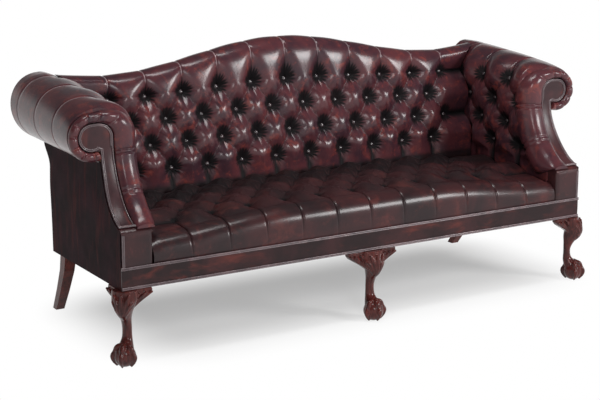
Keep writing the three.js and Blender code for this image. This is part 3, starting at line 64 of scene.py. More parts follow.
class Side(Enum):
    """The two ends of the sofa."""

    RIGHT = 1
    LEFT = -1

    @property
    def label(self) -> str:
        """Name of the side in the pieces' names."""
        return self.name.lower()

    @property
    def mirror(self) -> Array:
        """Factors that bring points of the right side to this one."""
        return np.array([self.value, 1.0, 1.0])


def smooth(t: Array) -> Array:
    """Ease from 0 to 1 with level ends."""
    s = np.clip(t, 0.0, 1.0)
    return s * s * (3.0 - 2.0 * s)


def mix(a: Array, b: Array, t: Array) -> Array:
    """Place between a and b at the share t."""
    return a + (b - a) * t


def bent(start: Array, end: Array, leave: Array, arrive: Array, t: Array) -> Array:
    """Place at the share t of a curve that leaves its start and arrives at its end with given slopes."""
    return (start * (2 * t**3 - 3 * t**2 + 1) + leave * (t**3 - 2 * t**2 + t)
            + end * (3 * t**2 - 2 * t**3) + arrive * (t**3 - t**2))


def spread(start: float, end: float, steps: int) -> Array:
    """Even places from start to end, both included."""
    return np.linspace(start, end, steps + 1)


def stations(*runs: tuple[float, float, int]) -> Array:
    """Join runs of even places, each given as start, end and steps, into one row.

    Args:
        *runs: Start, end and number of steps of each run; a run starts where the last ends.

    Returns:
        All places in order, without the doubled joints.
    """
    rows = [spread(*runs[0])]
    rows += [spread(*run)[1:] for run in runs[1:]]
    return np.concatenate(rows)


def points(x: Array, y: Array, z: Array) -> Array:
    """Stack coordinates of any common shape into an array of points."""
    return np.stack(np.broadcast_arrays(x, y, z), axis=-1).astype(float)


@dataclass(frozen=True)
class TuftField:
    """A field of deep buttons that stand in offset rows.

    Places are counted in pitches across and in rows up. Beyond the outer rows and columns
    straight pleats run on to the edge.
    """

    first: float
    last: float
    rows: int
    shift: float
    ridge_share: float = 0.55
    fullness: float = 0.85

    def diamond(self, across: Array, up: Array) -> Array:
        """Height of the leather between 0 at a button and 1 at the middle of a diamond."""
        rising, falling = (side**self.fullness for side in self._folds(across, up))
        ridge = np.maximum(rising, falling)
        return self.ridge_share * ridge + (1 - self.ridge_share) * rising * falling

    def _folds(self, across: Array, up: Array) -> tuple[Array, Array]:
        """Distance to the folds that rise and to those that fall, 0 on a fold."""
        return np.abs(np.sin(np.pi * (across + up / 2))), np.abs(np.sin(np.pi * (across - up / 2)))

    def _clamped(self, across: Array, row: Array) -> tuple[Array, Array, Array, Array]:
        """Nearest place inside the buttoned field, and how far the place lies outside it."""
        across, row = np.broadcast_arrays(across, row)
        column = np.clip(across, self.first, self.last)
        level = np.clip(row, 0, self.rows - 1)
        beside = np.minimum(np.abs(across - column), 0.5)
        beyond = np.minimum(np.abs(row - level), 0.5)
        return column, level, beside, beyond

    def height(self, across: Array, row: Array) -> Array:
        """Height of the leather at any place, pleats and corners included.

        Args:
            across: Places along the field, in pitches.
            row: Places up the field, in rows.

        Returns:
            Shares of the puff's depth.
        """
        column, level, beside, beyond = self._clamped(across, row)
        base = self.diamond(column + self.shift, level)
        rise = np.sin(np.pi * beside) * np.sin(np.pi * beyond)
        corner = mix(rise, 1.0, np.round(np.clip(base, 0, 1)))
        return np.where((beside > 0) & (beyond > 0), corner, base)

    def crease(self, across: Array, row: Array) -> Array:
        """Distance to the nearest fold, 0 on it, in shares of a diamond."""
        column, level, beside, beyond = self._clamped(across, row)
        straight = np.minimum(*self._folds(column + self.shift, level))
        pulled = np.minimum(np.sin(np.pi * beside), np.sin(np.pi * beyond))
        corner = np.where(straight < 0.5, pulled, 1.0)
        return np.where((beside > 0) & (beyond > 0), corner, straight)

    def offset(self, across: Array, row: Array) -> tuple[Array, Array]:
        """Steps across and up from the nearest button."""
        across, row = np.broadcast_arrays(across, row)
        level = np.clip(row, 0, self.rows - 1)
        best = None
        for near in (np.floor(level), np.ceil(level)):
            turn = np.mod(near / 2 + self.shift, 1.0)
            low = np.ceil(self.first + turn) - turn
            high = np.floor(self.last + turn) - turn
            column = np.clip(np.round(across + turn) - turn, low, high)
            step = across - column
            rise = row - near
            gap = step**2 + rise**2 / 3
            if best is None:
                best = (gap, step, rise)
            else:
                closer = gap < best[0]
                best = (gap, np.where(closer, step, best[1]), np.where(closer, rise, best[2]))
        return best[1], best[2]

    def falls(self, across: Array, row: Array) -> Array:
        """Whether the fold nearest to a cell's middle climbs to the right."""
        column, level, _, _ = self._clamped(across, row)
        rising, falling = self._folds(column + self.shift, level)
        return rising < falling


@dataclass(frozen=True)
class ButtonPull:
    """Fine creases that a deep button draws out of the leather round it."""

    pitch: float
    spacing: float
    spokes: float = 12.0
    reach: float = 58 * MM
    depth: float = 1.7 * MM
    level_share: float = 0.55
    start_share: float = 0.22
    seed_factors: tuple[float, float, float] = (12.9, 7.3, 3.1)
    coarse_share: float = 0.6
    coarse_sway: float = 1.7
    fine_factor: float = 1.6
    fine_sway: float = 2.2
    low_falloff: float = 2.0
    level_power: float = 1.5
    level_gain: float = 1.9
    even_share: float = 0.75

    def lift(self, tufts: TuftField, across: Array, row: Array) -> Array:
        """Height that the creases add to the leather.

        Args:
            tufts: The field whose buttons pull.
            across: Places along the field, in pitches.
            row: Places up the field, in rows.

        Returns:
            Heights, both above and below the smooth leather.
        """
        step, rise = tufts.offset(across, row)
        along, up, size = self.seed_factors
        seed = np.sin((across - step) * along + (row - rise) * up) * size
        x, z = step * self.pitch, rise * self.spacing
        distance = np.hypot(x, z) / self.reach
        heading = np.arctan2(z, x)
        coarse = np.cos(self.spokes * heading + self.coarse_sway * np.sin(3 * heading + seed))
        turned = self.fine_factor * self.spokes * heading
        fine = np.cos(turned + self.fine_sway * np.sin(2 * heading - seed) + seed)
        ripple = self.coarse_share * coarse + (1 - self.coarse_share) * fine
        lowest = np.exp(-(np.maximum(row, 0) ** 2) * self.low_falloff)
        level = np.abs(np.cos(heading)) ** self.level_power * self.level_gain
        below = self.even_share - (1 - self.even_share) * np.sin(heading)
        fade = smooth(distance / self.start_share) * (1 - smooth(distance))
        return self.depth * ripple * fade * below * mix(1.0, level, self.level_share * lowest)


@dataclass(frozen=True)
class SofaSizes:
    """Driving dimensions that several sub-assemblies share."""

    row_shift: float = -38.273 * MM
    rail_half_width: float = 981 * MM
    rail_front: float = -295 * MM
    rail_rear: float = 295 * MM
    rail_bottom: float = 257 * MM
    border_top: float = 329 * MM
    leather: float = 3 * MM
    clearance: float = 0.3 * MM
    lean: float = math.radians(12.65)
    back_half_width: float = 858 * MM
    saddle_height: float = 866 * MM
    hump_rise: float = 97 * MM
    hump_half_width: float = 735 * MM
    wing_rise: float = 15 * MM
    crest_roll_height: float = 45 * MM
    crest_roll_front: float = 55 * MM
    crest_roll_rear: float = 50 * MM
    crest_welt_drop: float = 30 * MM
    back_top_join: float = 928 * MM
    slab_side: float = 930 * MM
    arm_inner: float = 868 * MM
    roll_centre: float = 998 * MM
    roll_underside: float = 655 * MM
    roll_front_radius: float = 81 * MM
    roll_rear_radius: float = 116 * MM
    roll_growth: float = 0.55
    sweep_depth: float = 170 * MM
    sweep_height: float = 240 * MM
    sweep_power: float = 1.65
    sweep_top: float = 700 * MM
    base_depth: float = 50 * MM
    base_top: float = 455 * MM
    side_lean: float = 10 * MM
    side_lean_start: float = 480 * MM
    side_bend: float = 560 * MM
    side_bend_top: float = 640 * MM
    panel_gap: float = 0.8 * MM
    welt_radius: float = 2.6 * MM

    @property
    def cover_gap(self) -> float:
        """Depth of the cover and its clearance over the timber."""
        return self.leather + self.clearance

    @property
    def crest_middle(self) -> float:
        """Distance of the crest roll's axis in front of the rear plane."""
        return self.crest_roll_rear + self.clearance + self.leather

    @property
    def sweep_top_y(self) -> float:
        """Depth at which the hollow of the arm front turns upright."""
        return self.rail_front + self.sweep_depth

    @property
    def roll_front_centre(self) -> float:
        """Height of the scroll's middle at the front."""
        return self.roll_underside + self.roll_front_radius

    @property
    def panel_top(self) -> float:
        """Upper edge of the outside arm panel."""
        return self.roll_underside - self.panel_gap

    @property
    def slab_normal(self) -> Array:
        """Direction in which the inside back faces."""
        return np.array([0.0, -math.cos(self.lean), math.sin(self.lean)])

    def slab_point(self, x: Array, up: Array, forward: Array) -> Array:
        """Place in the leaned frame of the back: up the slab and forward from its rear plane."""
        y = self.rail_rear + up * math.sin(self.lean) - forward * math.cos(self.lean)
        z = self.border_top + up * math.cos(self.lean) + forward * math.sin(self.lean)
        return points(x, y, z)

    def slab_rear(self, z: Array) -> Array:
        """Depth of the back's rear plane at a height."""
        return self.rail_rear + (z - self.border_top) * math.tan(self.lean)

    def hump_share(self, x: Array) -> Array:
        """Share of the camel hump's rise at a place along the sofa."""
        return (1 + np.cos(np.pi * np.minimum(1, np.abs(x) / self.hump_half_width))) / 2

    def crest_up(self, x: Array) -> Array:
        """How far up the slab the crest lies."""
        run = self.back_half_width - self.hump_half_width
        wing = np.maximum(0, (np.abs(x) - self.hump_half_width) / run)
        height = self.saddle_height + self.hump_rise * self.hump_share(x) + self.wing_rise * wing**2
        drop = self.crest_middle * math.sin(self.lean)
        return (height - self.border_top - drop) / math.cos(self.lean)

    def sweep_share(self, share: Array) -> Array:
        """Share of one extent of the arm front's hollow that belongs to a share of the other."""
        return (1 - np.clip(share, 0, 1) ** self.sweep_power) ** (1 / self.sweep_power)

    def sweep_y(self, z: Array, behind: float = 0.0) -> Array:
        """Depth of the arm front's hollow at a height, moved back behind its face."""
        run = self.sweep_share((self.sweep_top - z) / (self.sweep_height + behind))
        return self.rail_front + (self.sweep_depth + behind) * run

    def sweep_z(self, y: Array, behind: float) -> Array:
        """Height of the arm front's hollow at a depth, moved back behind its face."""
        drop = self.sweep_share((y - self.rail_front) / (self.sweep_depth + behind))
        return self.sweep_top - (self.sweep_height + behind) * drop

    def sweep_point(self, x: Array, share: Array, behind: float = 0.0) -> Array:
        """Place on the sheet of the arm front, from 0 at its foot to 1 where it is upright."""
        angle = np.pi / 2 * (1 - np.minimum(1, share))
        depth = np.cos(angle) ** (2 / self.sweep_power)
        drop = np.sin(angle) ** (2 / self.sweep_power)
        above = np.maximum(0, share - 1) * self.sweep_height
        y = self.rail_front + (self.sweep_depth + behind) * depth
        z = self.sweep_top - (self.sweep_height + behind) * drop + above
        return points(x, y, z)

    def sweep_normal(self, share: Array) -> Array:
        """Direction in which the sheet of the arm front faces."""
        step = 1e-4
        run = self.sweep_point(0, share + step) - self.sweep_point(0, share - step)
        run = run / np.linalg.norm(run, axis=-1, keepdims=True)
        return points(0, -run[..., 2], run[..., 1])

    def share_at(self, z: Array) -> Array:
        """Share of the arm front's sheet at a height."""
        drop = np.clip((self.sweep_top - z) / self.sweep_height, 0, 1)
        low = 1 - 2 / np.pi * np.arcsin(drop ** (self.sweep_power / 2))
        return np.where(z >= self.sweep_top, 1 + (z - self.sweep_top) / self.sweep_height, low)

    def panel_x(self, z: Array) -> Array:
        """Outer face of the side panels, which lean in above the base block."""
        run = self.panel_top - self.side_lean_start
        return self.rail_half_width - self.side_lean * smooth((z - self.side_lean_start) / run)

    def side_rear(self, z: Array) -> Array:
        """Rear edge of the side panels: upright, then swept back to the plane of the back."""
        behind = self.slab_rear(np.maximum(z, self.border_top))
        turn = smooth((z - self.side_bend) / (self.side_bend_top - self.side_bend))
        return mix(self.rail_rear, behind, turn)

    @property
    def roll_outer(self) -> float:
        """Outermost edge of the roll, which is straight from front to rear."""
        return self.roll_centre + self.roll_front_radius

    def roll_axis(self, y: Array) -> Array:
        """Middle of the roll, which moves inward as the roll grows."""
        return self.roll_outer - self.roll_radius(y)

    @property
    def roll_rear_axis(self) -> float:
        """Middle of the roll where it meets the back."""
        return self.roll_outer - self.roll_rear_radius

    def roll_radius(self, y: Array) -> Array:
        """Radius of the arm's roll at a depth, growing to the rear."""
        run = self.slab_rear(self.roll_underside) - self.sweep_top_y
        share = np.clip((y - self.sweep_top_y) / run, 0, 1)
        return mix(self.roll_front_radius, self.roll_rear_radius, share**self.roll_growth)


SIZES = SofaSizes()


class Skin:
    """A mesh in the making: points, faces and values kept on the points."""

    def __init__(self) -> None:
        """Start without any points."""
        self.points: list[Array] = []
        self.faces: Faces = []
        self.values: dict[str, Array] = {}
        self.count = 0

    def add(self, place: Array, values: dict[str, Array] | None = None) -> int:
        """Add points and what is known of each.

        Args:
            place: Points, in any number of rows.
            values: Values of each point by the attribute's name; only for a skin of one part.

        Returns:
            Number of the first new point.
        """
        flat = np.asarray(place, dtype=float).reshape(-1, 3)
        first = self.count
        for name, value in (values or {}).items():
            self.values[name] = value.reshape(len(flat), -1)
        self.points.append(flat)
        self.count += len(flat)
        return first

    def grid(self, place: Array, values: dict[str, Array] | None = None,
             turned: Array | None = None) -> int:
        """Add a tube of points and its faces.

        Args:
            place: Points as rings by points of a ring by 3.
            values: Values of each point by the attribute's name.
            turned: For each cell, whether it is cut along the falling diagonal; quads if left out.

        Returns:
            Number of the first new point.
        """
        first = self.add(place, values)
        count = place.shape[1]
        ring, step = np.indices((len(place) - 1, count))
        a, b = first + ring * count + step, first + ring * count + (step + 1) % count
        c, d = b + count, a + count
        if turned is None:
            cells = np.stack([a, d, c, b], axis=-1).reshape(-1, 4)
        else:
            falling = np.stack([a, d, b, d, c, b], axis=-1)
            rising = np.stack([a, d, c, a, c, b], axis=-1)
            cells = np.where(turned[..., None], falling, rising).reshape(-1, 3)
        self.faces += [tuple(cell) for cell in cells.tolist()]
        return first

    def ladder(self, outline: list[int], last_count: int, flip: bool = False) -> None:
        """Fill a closed outline whose last points run back along its first ones.

        Args:
            outline: Numbers of the outline's points.
            last_count: How many of them belong to the way back.
            flip: Whether the faces are turned round.
        """
        place = np.concatenate(self.points)
        split = len(outline) - last_count
        a, b = 0, len(outline) - 1
        while a < split - 1 or b > split:
            near = far = math.inf
            if a < split - 1:
                near = float(np.linalg.norm(place[outline[a + 1]] - place[outline[b]]))
            if b > split:
                far = float(np.linalg.norm(place[outline[a]] - place[outline[b - 1]]))
            if near <= far:
                corner = (outline[a], outline[a + 1], outline[b])
                a += 1
            else:
                corner = (outline[a], outline[b - 1], outline[b])
                b -= 1
            self.faces.append(corner[::-1] if flip else corner)

    def take(self, other: "Skin") -> None:
        """Add all points and faces of another skin without values."""
        first = self.add(np.concatenate(other.points))
        self.faces += [tuple(first + k for k in face) for face in other.faces]

    def side_mesh(self, side: Side, name: str) -> bpy.types.Object:
        """Make the object of one side from the skin of the right side."""
        for row in self.points:
            row *= side.mirror
        if side is Side.LEFT:
            self.faces = [face[::-1] for face in self.faces]
        return self.mesh(f"{side.label}_{name}")

    def mesh(self, name: str, sharp_degrees: float = 50.0) -> bpy.types.Object:
        """Make the Blender object.

        Args:
            name: Name of the piece.
            sharp_degrees: Edges that turn by more than this stay sharp.

        Returns:
            The object, its place in its mesh, moved from the builder's to the sofa's frame.
        """
        place = np.concatenate(self.points)
        place[:, 1] += SIZES.row_shift
        data = bpy.data.meshes.new(name)
        data.from_pydata(place.tolist(), [], self.faces)
        for value_name, value in self.values.items():
            kind, field_name = ("FLOAT", "value") if value.shape[1] == 1 else ("FLOAT_VECTOR", "vector")
            data.attributes.new(value_name, kind, "POINT").data.foreach_set(field_name, value.ravel())
        data.validate()
        data.update()
        outward_faces(data)
        data.shade_smooth()
        data.set_sharp_from_angle(angle=math.radians(sharp_degrees))
        return linked(name, data)


def linked(name: str, data: bpy.types.ID) -> bpy.types.Object:
    """Put data into the scene as a new object."""
    piece = bpy.data.objects.new(name, data)
    bpy.context.scene.collection.objects.link(piece)
    return piece


def outward_faces(data: bpy.types.Mesh) -> None:
    """Turn all faces round where the closed mesh has its inside out."""
    work = bmesh.new()
    work.from_mesh(data)
    if work.calc_volume(signed=True) < 0:
        bmesh.ops.reverse_faces(work, faces=work.faces)
        work.to_mesh(data)
    work.free()


def loft_skin(rings: Array, values: dict[str, Array] | None = None, back_count: int = 0,
              turned: Array | None = None) -> Skin:
    """Closed body through closed rings with the same number of points.

    Args:
        rings: Points as rings by points by 3.
        values: Values of each point by the attribute's name.
        back_count: How many points of a ring run back behind the others; 0 fills ends as polygons.
        turned: Cut of each cell, or None for quads.

    Returns:
        The skin with its two ends filled.
    """
    skin = Skin()
    first = skin.grid(rings, values, turned)
    start, end = (list(range(at, at + rings.shape[1])) for at in (first, skin.count - rings.shape[1]))
    if back_count:
        skin.ladder(start, back_count)
        skin.ladder(end, back_count, flip=True)
    else:
        skin.faces += [tuple(start), tuple(end[::-1])]
    return skin


def sheet_skin(front: Array, back: Array, values: dict[str, Array] | None = None) -> Skin:
    """Closed sheet between two faces whose columns of points stand behind each other."""
    return loft_skin(np.concatenate([front, back[:, ::-1]], axis=1), values, back.shape[1])


def cord_skin(path: Array, normal: Array, radius: float, sides: int = 10) -> Skin:
    """Round cord along a path.

    Args:
        path: Points of the path.
        normal: Direction that each section stands on, one for all or one each.
        radius: Radius of the cord.
        sides: Corners of each section.

    Returns:
        The closed cord.
    """
    run = np.gradient(path, axis=0)
    run /= np.linalg.norm(run, axis=1, keepdims=True)
    side = np.cross(run, np.broadcast_to(normal, path.shape))
    side /= np.linalg.norm(side, axis=1, keepdims=True)
    up = np.cross(side, run)
    angle = np.linspace(0, 2 * np.pi, sides, endpoint=False)[None, :, None]
    return loft_skin(path[:, None] + (side[:, None] * np.cos(angle) + up[:, None] * np.sin(angle)) * radius)


class Socket:
    """A number given out by a node; sums on it add Math nodes."""

    def __init__(self, shader: "Shader", link: bpy.types.NodeSocket) -> None:
        """Wrap a node's output."""
        self.shader = shader
        self.link = link

    def math(self, operation: str, *others: "Socket | float") -> "Socket":
        """Add one Math node of the operation named."""
        values = {i + 1: other for i, other in enumerate(others)}
        return self.shader.node("ShaderNodeMath", {"operation": operation}, {0: self, **values})

    def _reflected(self, operation: str, other: float) -> "Socket":
        return self.shader.node("ShaderNodeMath", {"operation": operation}, {0: other, 1: self})

    def __add__(self, other: "Socket | float") -> "Socket":
        """Sum."""
        return self.math("ADD", other)

    __radd__ = __add__

    def __sub__(self, other: "Socket | float") -> "Socket":
        """Difference."""
        return self.math("SUBTRACT", other)

    def __rsub__(self, other: float) -> "Socket":
        """Difference from a number."""
        return self._reflected("SUBTRACT", other)

    def __mul__(self, other: "Socket | float") -> "Socket":
        """Product."""
        return self.math("MULTIPLY", other)

    __rmul__ = __mul__

    def __truediv__(self, other: "Socket | float") -> "Socket":
        """Quotient."""
        return self.math("DIVIDE", other)

    def __pow__(self, other: "Socket | float") -> "Socket":
        """Power."""
        return self.math("POWER", other)

    def between(self, low: float, high: float) -> "Socket":
        """Share of the way from low to high, eased and kept within 0 and 1."""
        settings = {"interpolation_type": "SMOOTHSTEP"}
        return self.shader.node("ShaderNodeMapRange", settings, {0: self, 1: low, 2: high, 3: 0.0, 4: 1.0})


class Shader:
    """A material or a world in the making."""

    def __init__(self, name: str, kind: str = "Material") -> None:
        """Start an empty node tree with an output."""
        owners = {"Material": bpy.data.materials, "World": bpy.data.worlds}
        self.owner = owners[kind].new(name)
        self.owner.use_nodes = True
        self.tree = self.owner.node_tree
        self.tree.nodes.clear()
        self.output = self.tree.nodes.new(f"ShaderNodeOutput{kind}")

    def node(self, kind: str, settings: dict | None = None, values: dict | None = None,
             out: int | str = 0) -> Socket:
        """Add a node.

        Args:
            kind: Blender's type of the node.
            settings: Its settings.
            values: A number, colour or Socket for each input by name or number.
            out: Which output is handed back.

        Returns:
            That output.
        """
        made = self.tree.nodes.new(kind)
        for name, value in (settings or {}).items():
            setattr(made, name, value)
        for name, value in (values or {}).items():
            if isinstance(value, Socket):
                self.tree.links.new(value.link, made.inputs[name])
            elif isinstance(value, tuple) and made.inputs[name].type == "RGBA":
                made.inputs[name].default_value = (*value, 1.0)
            else:
                made.inputs[name].default_value = value
        return Socket(self, made.outputs[out])

    def place(self, scale: Color = (1.0, 1.0, 1.0), turn: Color = (0.0, 0.0, 0.0)) -> Socket:
        """Object coordinates, stretched and turned."""
        coordinates = self.node("ShaderNodeTexCoord", out="Object")
        values = {"Vector": coordinates, "Scale": scale, "Rotation": turn}
        return self.node("ShaderNodeMapping", None, values)

    def noise(self, where: Socket, kind: Noise, growth: float = 1.0) -> Socket:
        """Cloudy value between 0 and 1.

        Args:
            where: Place that the clouds are read at.
            kind: Scale, detail, roughness and, if any, distortion.
            growth: Factor on the scale.

        Returns:
            The value.
        """
        values = dict(zip(("Scale", "Detail", "Roughness", "Distortion"), kind))
        values.update({"Vector": where, "Scale": kind[0] * growth})
        return self.node("ShaderNodeTexNoise", None, values, "Fac")

    def cells(self, where: Socket, scale: float) -> Socket:
        """Distance from the middles of small cells."""
        return self.node("ShaderNodeTexVoronoi", None, {"Vector": where, "Scale": scale}, "Distance")

    def kept(self, name: str, out: str = "Fac") -> Socket:
        """Value that is kept on the mesh."""
        return self.node("ShaderNodeAttribute", {"attribute_name": name}, None, out)

    def vector(self, operation: str, *inputs: Socket | Color, out: int | str = 0) -> Socket:
        """Add one Vector Math node of the operation named."""
        return self.node("ShaderNodeVectorMath", {"operation": operation}, dict(enumerate(inputs)), out)

    def blend(self, factor: Socket | float, a: Socket | Color, b: Socket | Color) -> Socket:
        """Mix two colours."""
        return self.node("ShaderNodeMix", {"data_type": "RGBA"}, {0: factor, 6: a, 7: b}, 2)

    def bump(self, height: Socket, distance: float, strength: float, below: Socket | None = None) -> Socket:
        """Relief whose height 1 stands for the distance."""
        values = {"Height": height, "Distance": distance, "Strength": strength}
        if below is not None:
            values["Normal"] = below
        return self.node("ShaderNodeBump", None, values, "Normal")

    def surface(self, color: Socket | Color, roughness: Socket | float, normal: Socket | None = None,
                **fixed: float | Color) -> bpy.types.Material:
        """Close the material with one Principled shader.

        Args:
            color: Base colour.
            roughness: Roughness.
            normal: Relief.
            **fixed: Even values of other sockets; underscores stand for spaces.

        Returns:
            The finished material.
        """
        values = {"Base Color": color, "Roughness": roughness}
        if normal is not None:
            values["Normal"] = normal
        values.update({name.replace("_", " "): value for name, value in fixed.items()})
        return self.close(self.node("ShaderNodeBsdfPrincipled", None, values, "BSDF"))

    def close(self, surface: Socket) -> bpy.types.ID:
        """Link the surface to the output and hand back the material or world."""
        self.tree.links.new(surface.link, self.output.inputs["Surface"])
        return self.owner


@dataclass(frozen=True)
class Hide:
    """What every leather has: a name, a fine grain and an uneven sheen."""

    name: str = "aged_leather"
    plum: Color = (0.041, 0.0160, 0.0230)
    oxblood: Color = (0.086, 0.0230, 0.0280)
    red: Color = (0.190, 0.038, 0.031)
    wear: float = 0.85
    roughness: float = 0.31
    gloss: float = 0.14
    grain_scale: float = 620.0
    grain_relief: Span = (0.25 * MM, 0.22)
    sheen: Noise = (26.0, 3.0, 0.5)
    sheen_share: float = 0.14

    def closed(self, shader: Shader, color: Socket, relief: Socket, duller: Socket | float = 0.0,
               **fixed: Socket | float) -> bpy.types.Material:
        """Lay grain and sheen over a hide.

        Args:
            shader: The material in the making.
            color: Colour of the hide.
            relief: Its creases.
            duller: What is added to the roughness.
            **fixed: Values of other sockets.

        Returns:
            The finished material.
        """
        where = shader.place()
        relief = shader.bump(shader.cells(where, self.grain_scale), *self.grain_relief, relief)
        sheen = shader.noise(where, self.sheen) * self.sheen_share
        roughness = sheen + (self.roughness - self.sheen_share / 2) + duller
        return shader.surface(color, roughness, relief, Specular_IOR_Level=self.gloss, **fixed)


@dataclass(frozen=True)
class AgedLeather(Hide):
    """Oxblood leather, antiqued by hand, whose hollows, folds and button pits are darkened as antique
    darkening and painted shade, with painted highlights on its seams and red rubbed on in random patches.
    """

    # Near-black colour of the antique darkening and painted shade in hollows, folds and button pits.
    black: Color = (0.0055, 0.0050, 0.0058)
    # Painted highlight colour for the thin seam lines over the rolls and the crest.
    seam_highlight: Color = (0.34, 0.26, 0.27)
    patch_scale: float = 9.0
    clouds: Noise = (1.0, 4.0, 0.62, 0.4)
    rubs: Noise = (2.2, 5.0, 0.66, 0.8)
    blotches: Noise = (5.5, 4.0, 0.7, 0.5)
    rub_share: float = 0.75
    blotch_share: float = 0.35
    oxblood_levels: Span = (0.36, 0.64)
    worn_levels: Span = (0.55, 0.74)
    pull_reach: float = 52 * MM
    pull_core_share: float = 0.35
    pull_start_levels: Span = (0.02, 0.2)
    spokes: Noise = (6.5, 2.0, 0.6)
    spoke_share: float = 2.0
    spoke_relief: Span = (3.0 * MM, 0.8)
    hollow_share: float = 1.25
    dark_levels: Span = (0.27, 0.62)
    dark_share: float = 0.97
    fold_levels: Span = (0.35, 0.9)
    fold_share: float = 0.94
    seam_levels: Span = (0.3, 0.8)
    seam_share: float = 0.7
    creases: Noise = (150.0, 3.0, 0.6)
    crease_relief: Span = (0.8 * MM, 0.3)
    dark_roughness: float = 0.22
    coat: float = 0.5
    coat_roughness: float = 0.2

    def make(self) -> bpy.types.Material:
        """Build the material."""
        shader = Shader(self.name)
        where = shader.place()
        clouds, rub, blotch = (shader.noise(where, kind, self.patch_scale)
                               for kind in (self.clouds, self.rubs, self.blotches))
        color = shader.blend(clouds.between(*self.oxblood_levels), self.plum, self.oxblood)
        worn = (rub * self.rub_share + blotch * self.blotch_share).between(*self.worn_levels)
        color = shader.blend(worn * self.wear, color, self.red)
        way = shader.kept("button_way", "Vector")
        reach = shader.vector("LENGTH", way, out="Value")
        spokes = shader.noise(shader.vector("NORMALIZE", way), self.spokes)
        near = 1.0 - reach.between(self.pull_reach * self.pull_core_share, self.pull_reach)
        started = (reach * (1.0 / self.pull_reach)).between(*self.pull_start_levels)
        pulled = (spokes - 0.5) * near * self.spoke_share
        # Antique darkening and painted shade: the hollow attribute and spiky halos round each button make
        # the dark mask, and thin folds are painted near black as shade.
        dark = (shader.kept("hollow") * self.hollow_share + pulled).between(*self.dark_levels)
        fold = shader.kept("crease").between(*self.fold_levels)
        seam = shader.kept("seam").between(*self.seam_levels)
        color = shader.blend(dark * self.dark_share, color, self.black)
        color = shader.blend(fold * self.fold_share, color, self.black)
        # Painted highlight: seam lines are lightened as if they caught the light.
        color = shader.blend(seam * self.seam_share, color, self.seam_highlight)
        relief = shader.bump(spokes * near * started, *self.spoke_relief)
        relief = shader.bump(shader.noise(where, self.creases), *self.crease_relief, relief)
        # The coat thins and roughness rises under the painted shade, so those places reflect less.
        return self.closed(shader, color, relief, dark * self.dark_roughness,
                           Coat_Weight=(1.0 - dark) * self.coat, Coat_Roughness=self.coat_roughness)


@dataclass(frozen=True)
class StretchedLeather(Hide):
    """The same hide pulled flat over panels and welts, with long faint streaks."""

    name: str = "panel_leather"
    plum: Color = (0.0130, 0.0060, 0.0078)
    oxblood: Color = (0.031, 0.0105, 0.0150)
    red: Color = (0.080, 0.0170, 0.0165)
    wear: float = 0.6
    roughness: float = 0.50
    gloss: float = 0.02
    sheen: Noise = (22.0, 3.0, 0.5)
    streak_stretch: Color = (1.0, 1.0, 0.16)
    streak_scale: float = 34.0
    streaks: Noise = (1.0, 4.0, 0.6, 0.5)
    streak_levels: Span = (0.5, 0.76)
    clouds: Noise = (7.0, 4.0, 0.6)
    cloud_levels: Span = (0.38, 0.66)
    ripple: Noise = (120.0, 3.0, 0.6)
    ripple_relief: Span = (0.6 * MM, 0.25)

    def make(self) -> bpy.types.Material:
        """Build the material."""
        shader = Shader(self.name)
        where = shader.place()
        streaks = shader.noise(shader.place(self.streak_stretch), self.streaks, self.streak_scale)
        clouds = shader.noise(where, self.clouds)
        color = shader.blend(clouds.between(*self.cloud_levels), self.plum, self.oxblood)
        color = shader.blend(streaks.between(*self.streak_levels) * self.wear, color, self.red)
        relief = shader.bump(shader.noise(where, self.ripple), *self.ripple_relief)
        return self.closed(shader, color, relief)


@dataclass(frozen=True)
class PolishedWood:
    """Red mahogany with a deep polish, its red and dark mixed by grain and clouds."""

    name: str = "polished_mahogany"
    dark: Color = (0.042, 0.0100, 0.0090)
    red: Color = (0.150, 0.0300, 0.0230)
    roughness: float = 0.33
    coat: float = 0.05
    gloss: float = 0.12
    coat_roughness: float = 0.12
    grain_stretch: Color = (1.0, 1.0, 0.12)
    grain: Noise = (130.0, 4.0, 0.6, 0.6)
    clouds: Noise = (18.0, 3.0, 0.5)
    grain_share: float = 0.7
    cloud_share: float = 0.4
    red_levels: Span = (0.35, 0.75)
    pore_stretch: Color = (1.0, 1.0, 0.06)
    pores: Noise = (700.0, 2.0, 0.5)
    pore_relief: Span = (0.2 * MM, 0.2)
    sheen_share: float = 0.12

    def make(self) -> bpy.types.Material:
        """Build the material."""
        shader = Shader(self.name)
        grain = shader.noise(shader.place(self.grain_stretch), self.grain)
        clouds = shader.noise(shader.place(), self.clouds)
        red = (grain * self.grain_share + clouds * self.cloud_share).between(*self.red_levels)
        color = shader.blend(red, self.dark, self.red)
        pores = shader.noise(shader.place(self.pore_stretch), self.pores)
        roughness = grain * self.sheen_share + (self.roughness - self.sheen_share / 2)
        relief = shader.bump(pores, *self.pore_relief)
        return shader.surface(color, roughness, relief, Coat_Weight=self.coat,
                              Coat_Roughness=self.coat_roughness, Specular_IOR_Level=self.gloss)


